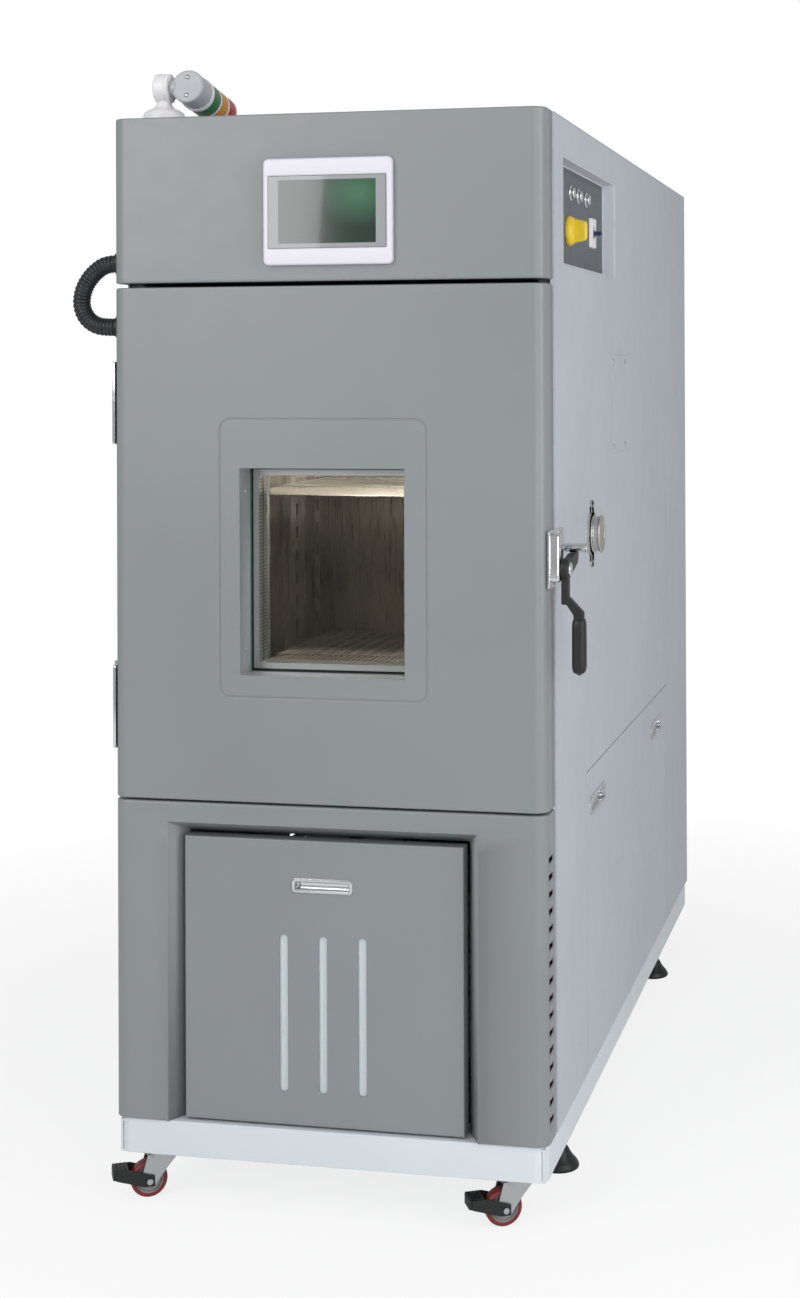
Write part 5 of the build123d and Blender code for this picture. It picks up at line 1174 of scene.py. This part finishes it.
def makeCasters():
    # tread and hub profiles turned round an axle that trails its swivel by a fixed length
    r, h = rolling["radius"], rolling["half"]
    for name, (x, y, angle) in rolling["places"].items():
        turn = math.radians(angle)
        axle = (x + rolling["trail"] * math.cos(turn), y + rolling["trail"] * math.sin(turn), r)
        across = (-math.sin(turn), math.cos(turn), 0)
        tread = [(19, -h), (21.5, -h), (24, -h + 1.6), (25, -h + 4.6), (25, h - 4.6), (24, h - 1.6),
                 (21.5, h), (19, h), (19, -h)]
        makePiece(name + "_tyre", *turned(tread, axle, across, sides=64, radius=1.2), tyreUrethane,
                  f"{name}_wheel", "caster_tyre", also=(f"{name}_caster_wheel",))
        disc = [(4.4, -11.4), (7.6, -11.4), (9, -9.6), (10, -5.8), (16.2, -5.8), (17.4, -8.8), (19, -9),
                (19, 9), (17.4, 8.8), (16.2, 5.8), (10, 5.8), (9, 9.6), (7.6, 11.4), (4.4, 11.4),
                (4.4, -11.4)]
        makePiece(name + "_hub", *turned(disc, axle, across, sides=48, radius=0.7), hubNylon,
                  f"{name}_wheel", "caster_tyre")


def makeFeet():
    # bell, stem and hexagonal nut turned round one upright axis
    for name, (x, y) in feetAt.items():
        bell = [(0, 0), (27.4, 0), (28.6, 1.2), (29, 3.2), (28.4, 5.4), (26, 9.6), (21.5, 14.5),
                (17.5, 20), (14.4, 26), (12, 29.6), (8, 30.8), (6, 31.4), (6, 44)]
        # thread: the radius rises and falls once each pitch up the stem
        stem = [(6 - 0.45 * (k % 2), 44 + 0.75 * k) for k in range(81)] + [(0, 104.75)]
        nut = [(6.2, 43.8), (9.4, 43.8), (10.4, 44.6), (10.4, 51.2), (9.4, 52), (6.2, 52), (6.2, 43.8)]
        hexagon = turned(nut, (x, y, 0), (0, 0, 1), sides=6, radius=0)
        foot = joined(turned(bell, (x, y, 0), (0, 0, 1), sides=56, radius=1.0),
                      turned(stem, (x, y, 0), (0, 0, 1), sides=20, radius=0), hexagon)
        makePiece(name + "_footBell", *foot, blackAbs, f"{name}_foot", "black_plastic",
                  also=(f"{name}_levelling_foot",))


makeMesh()
makeCasters()
makeFeet()
print("mesh, casters and feet made")


# Stage, light and camera
view = dict(focal=1999.04, centreX=541.0, centreY=362.9, position=(810.5, -2542.0, 1122.3),
            heading=0.2006, tilt=0.0051, roll=-0.004,
            photo=(800.0, 1298.0), sensor=36.0)  # focal, centre and photo in pixels, angles in radians
studio = dict(floorHalf=9.0, floorDrop=0.0002, shade=(0.80, 1.0), fade=(0.8, 1.9), fill=0.46,
              backdrop=1.0)


def makeCamera():
    # pinhole: lens over sensor is focal length over picture height, both in pixels
    data = bpy.data.cameras.new("camera")
    camera = placed("camera", data)
    wide, high = view["photo"]
    data.sensor_width = view["sensor"]
    data.lens = view["focal"] * view["sensor"] / high
    data.shift_x = (wide / 2 - view["centreX"]) / high
    data.shift_y = (view["centreY"] - high / 2) / high
    data.clip_start, data.clip_end = 0.05, 100.0
    turn = Matrix.Rotation(view["heading"], 4, "Z") @ Matrix.Rotation(math.pi / 2 + view["tilt"], 4, "X")
    turn = turn @ Matrix.Rotation(view["roll"], 4, "Z")
    camera.matrix_world = Matrix.Translation(Vector(toFrame(view["position"]))) @ turn
    bpy.context.scene.camera = camera


def makeStage():
    material, tree, shader, place = startMaterial("paperSweep")
    shader.inputs["Roughness"].default_value = 0.9
    shader.inputs["Base Color"].default_value = linear("#F4F4F4")
    paths = addNode(tree, "ShaderNodeLightPath").outputs
    white = addNode(tree, "ShaderNodeEmission", {"Color": (1, 1, 1, 1), "Strength": 1.0})
    output = next(n for n in tree.nodes if n.type == "OUTPUT_MATERIAL")
    # the paper's own shading shows near the object and gives way to white further out
    away = addNode(tree, "ShaderNodeVectorMath", {0: place}, operation="LENGTH").outputs["Value"]
    share = spread(tree, away, *studio["shade"], *studio["fade"])
    half = combined(tree, "MULTIPLY", paths["Is Camera Ray"], share)
    mixed = addNode(tree, "ShaderNodeMixShader", {0: half, 1: shader.outputs[0], 2: white.outputs[0]})
    tree.links.new(mixed.outputs[0], output.inputs["Surface"])
    u = np.linspace(-studio["floorHalf"], studio["floorHalf"], 3)
    grid = np.array([[(x, y, -studio["floorDrop"]) for y in u] for x in u]).reshape(-1, 3)
    mesh = bpy.data.meshes.new("floor")
    mesh.from_pydata(grid.tolist(), [], gridFaces(3, 3).tolist())
    mesh.materials.append(material)
    floor = placed("floor", mesh)


def makeWorld():
    # white seen straight on or through glass, and a softer fill for everything else
    world = bpy.data.worlds.new("studio")
    bpy.context.scene.world = world
    world.use_nodes = True
    tree = world.node_tree
    tree.nodes.clear()
    paths = addNode(tree, "ShaderNodeLightPath").outputs
    seen = combined(tree, "MAXIMUM", paths["Is Camera Ray"], paths["Is Transmission Ray"])
    fill = addNode(tree, "ShaderNodeBackground", {"Color": (1, 1, 1, 1), "Strength": studio["fill"]})
    back = addNode(tree, "ShaderNodeBackground", {"Color": (1, 1, 1, 1), "Strength": studio["backdrop"]})
    both = addNode(tree, "ShaderNodeMixShader",
                   {0: seen, 1: fill.outputs[0], 2: back.outputs[0]})
    addNode(tree, "ShaderNodeOutputWorld", {"Surface": both.outputs[0]})


def makeLamp(name, position, target, size, power, colour=(1, 1, 1)):
    # a rectangle of light whose own -Z runs from its place to its target
    data = bpy.data.lights.new(name, "AREA")
    data.shape = "RECTANGLE"
    data.size, data.size_y = size
    data.energy = power
    data.color = colour
    lamp = placed(name, data)
    place, aim = Vector(toFrame(position)), Vector(toFrame(target))
    turn = (aim - place).to_track_quat("-Z", "Y").to_matrix().to_4x4()
    lamp.matrix_world = Matrix.Translation(place) @ turn


makeCamera()
makeStage()
makeWorld()
makeLamp("keySoftbox", (-1500, -2600, 2300), (0, 300, 800), (1.4, 2.2), 46)
makeLamp("rightStrip", (2600, -900, 1500), (300, 500, 800), (0.9, 2.4), 30)
makeLamp("rimStrip", (1500, -2300, 1300), (300, 0, 800), (0.25, 2.2), 14)
makeLamp("chamberLight", (60, 150, 1078), (0, 420, 760), (0.22, 0.10), 2.6, (1.0, 0.90, 0.78))
bpy.context.scene.view_settings.view_transform = "Standard"
print("stage, lights and camera set")

bpy.context.view_layer.update()
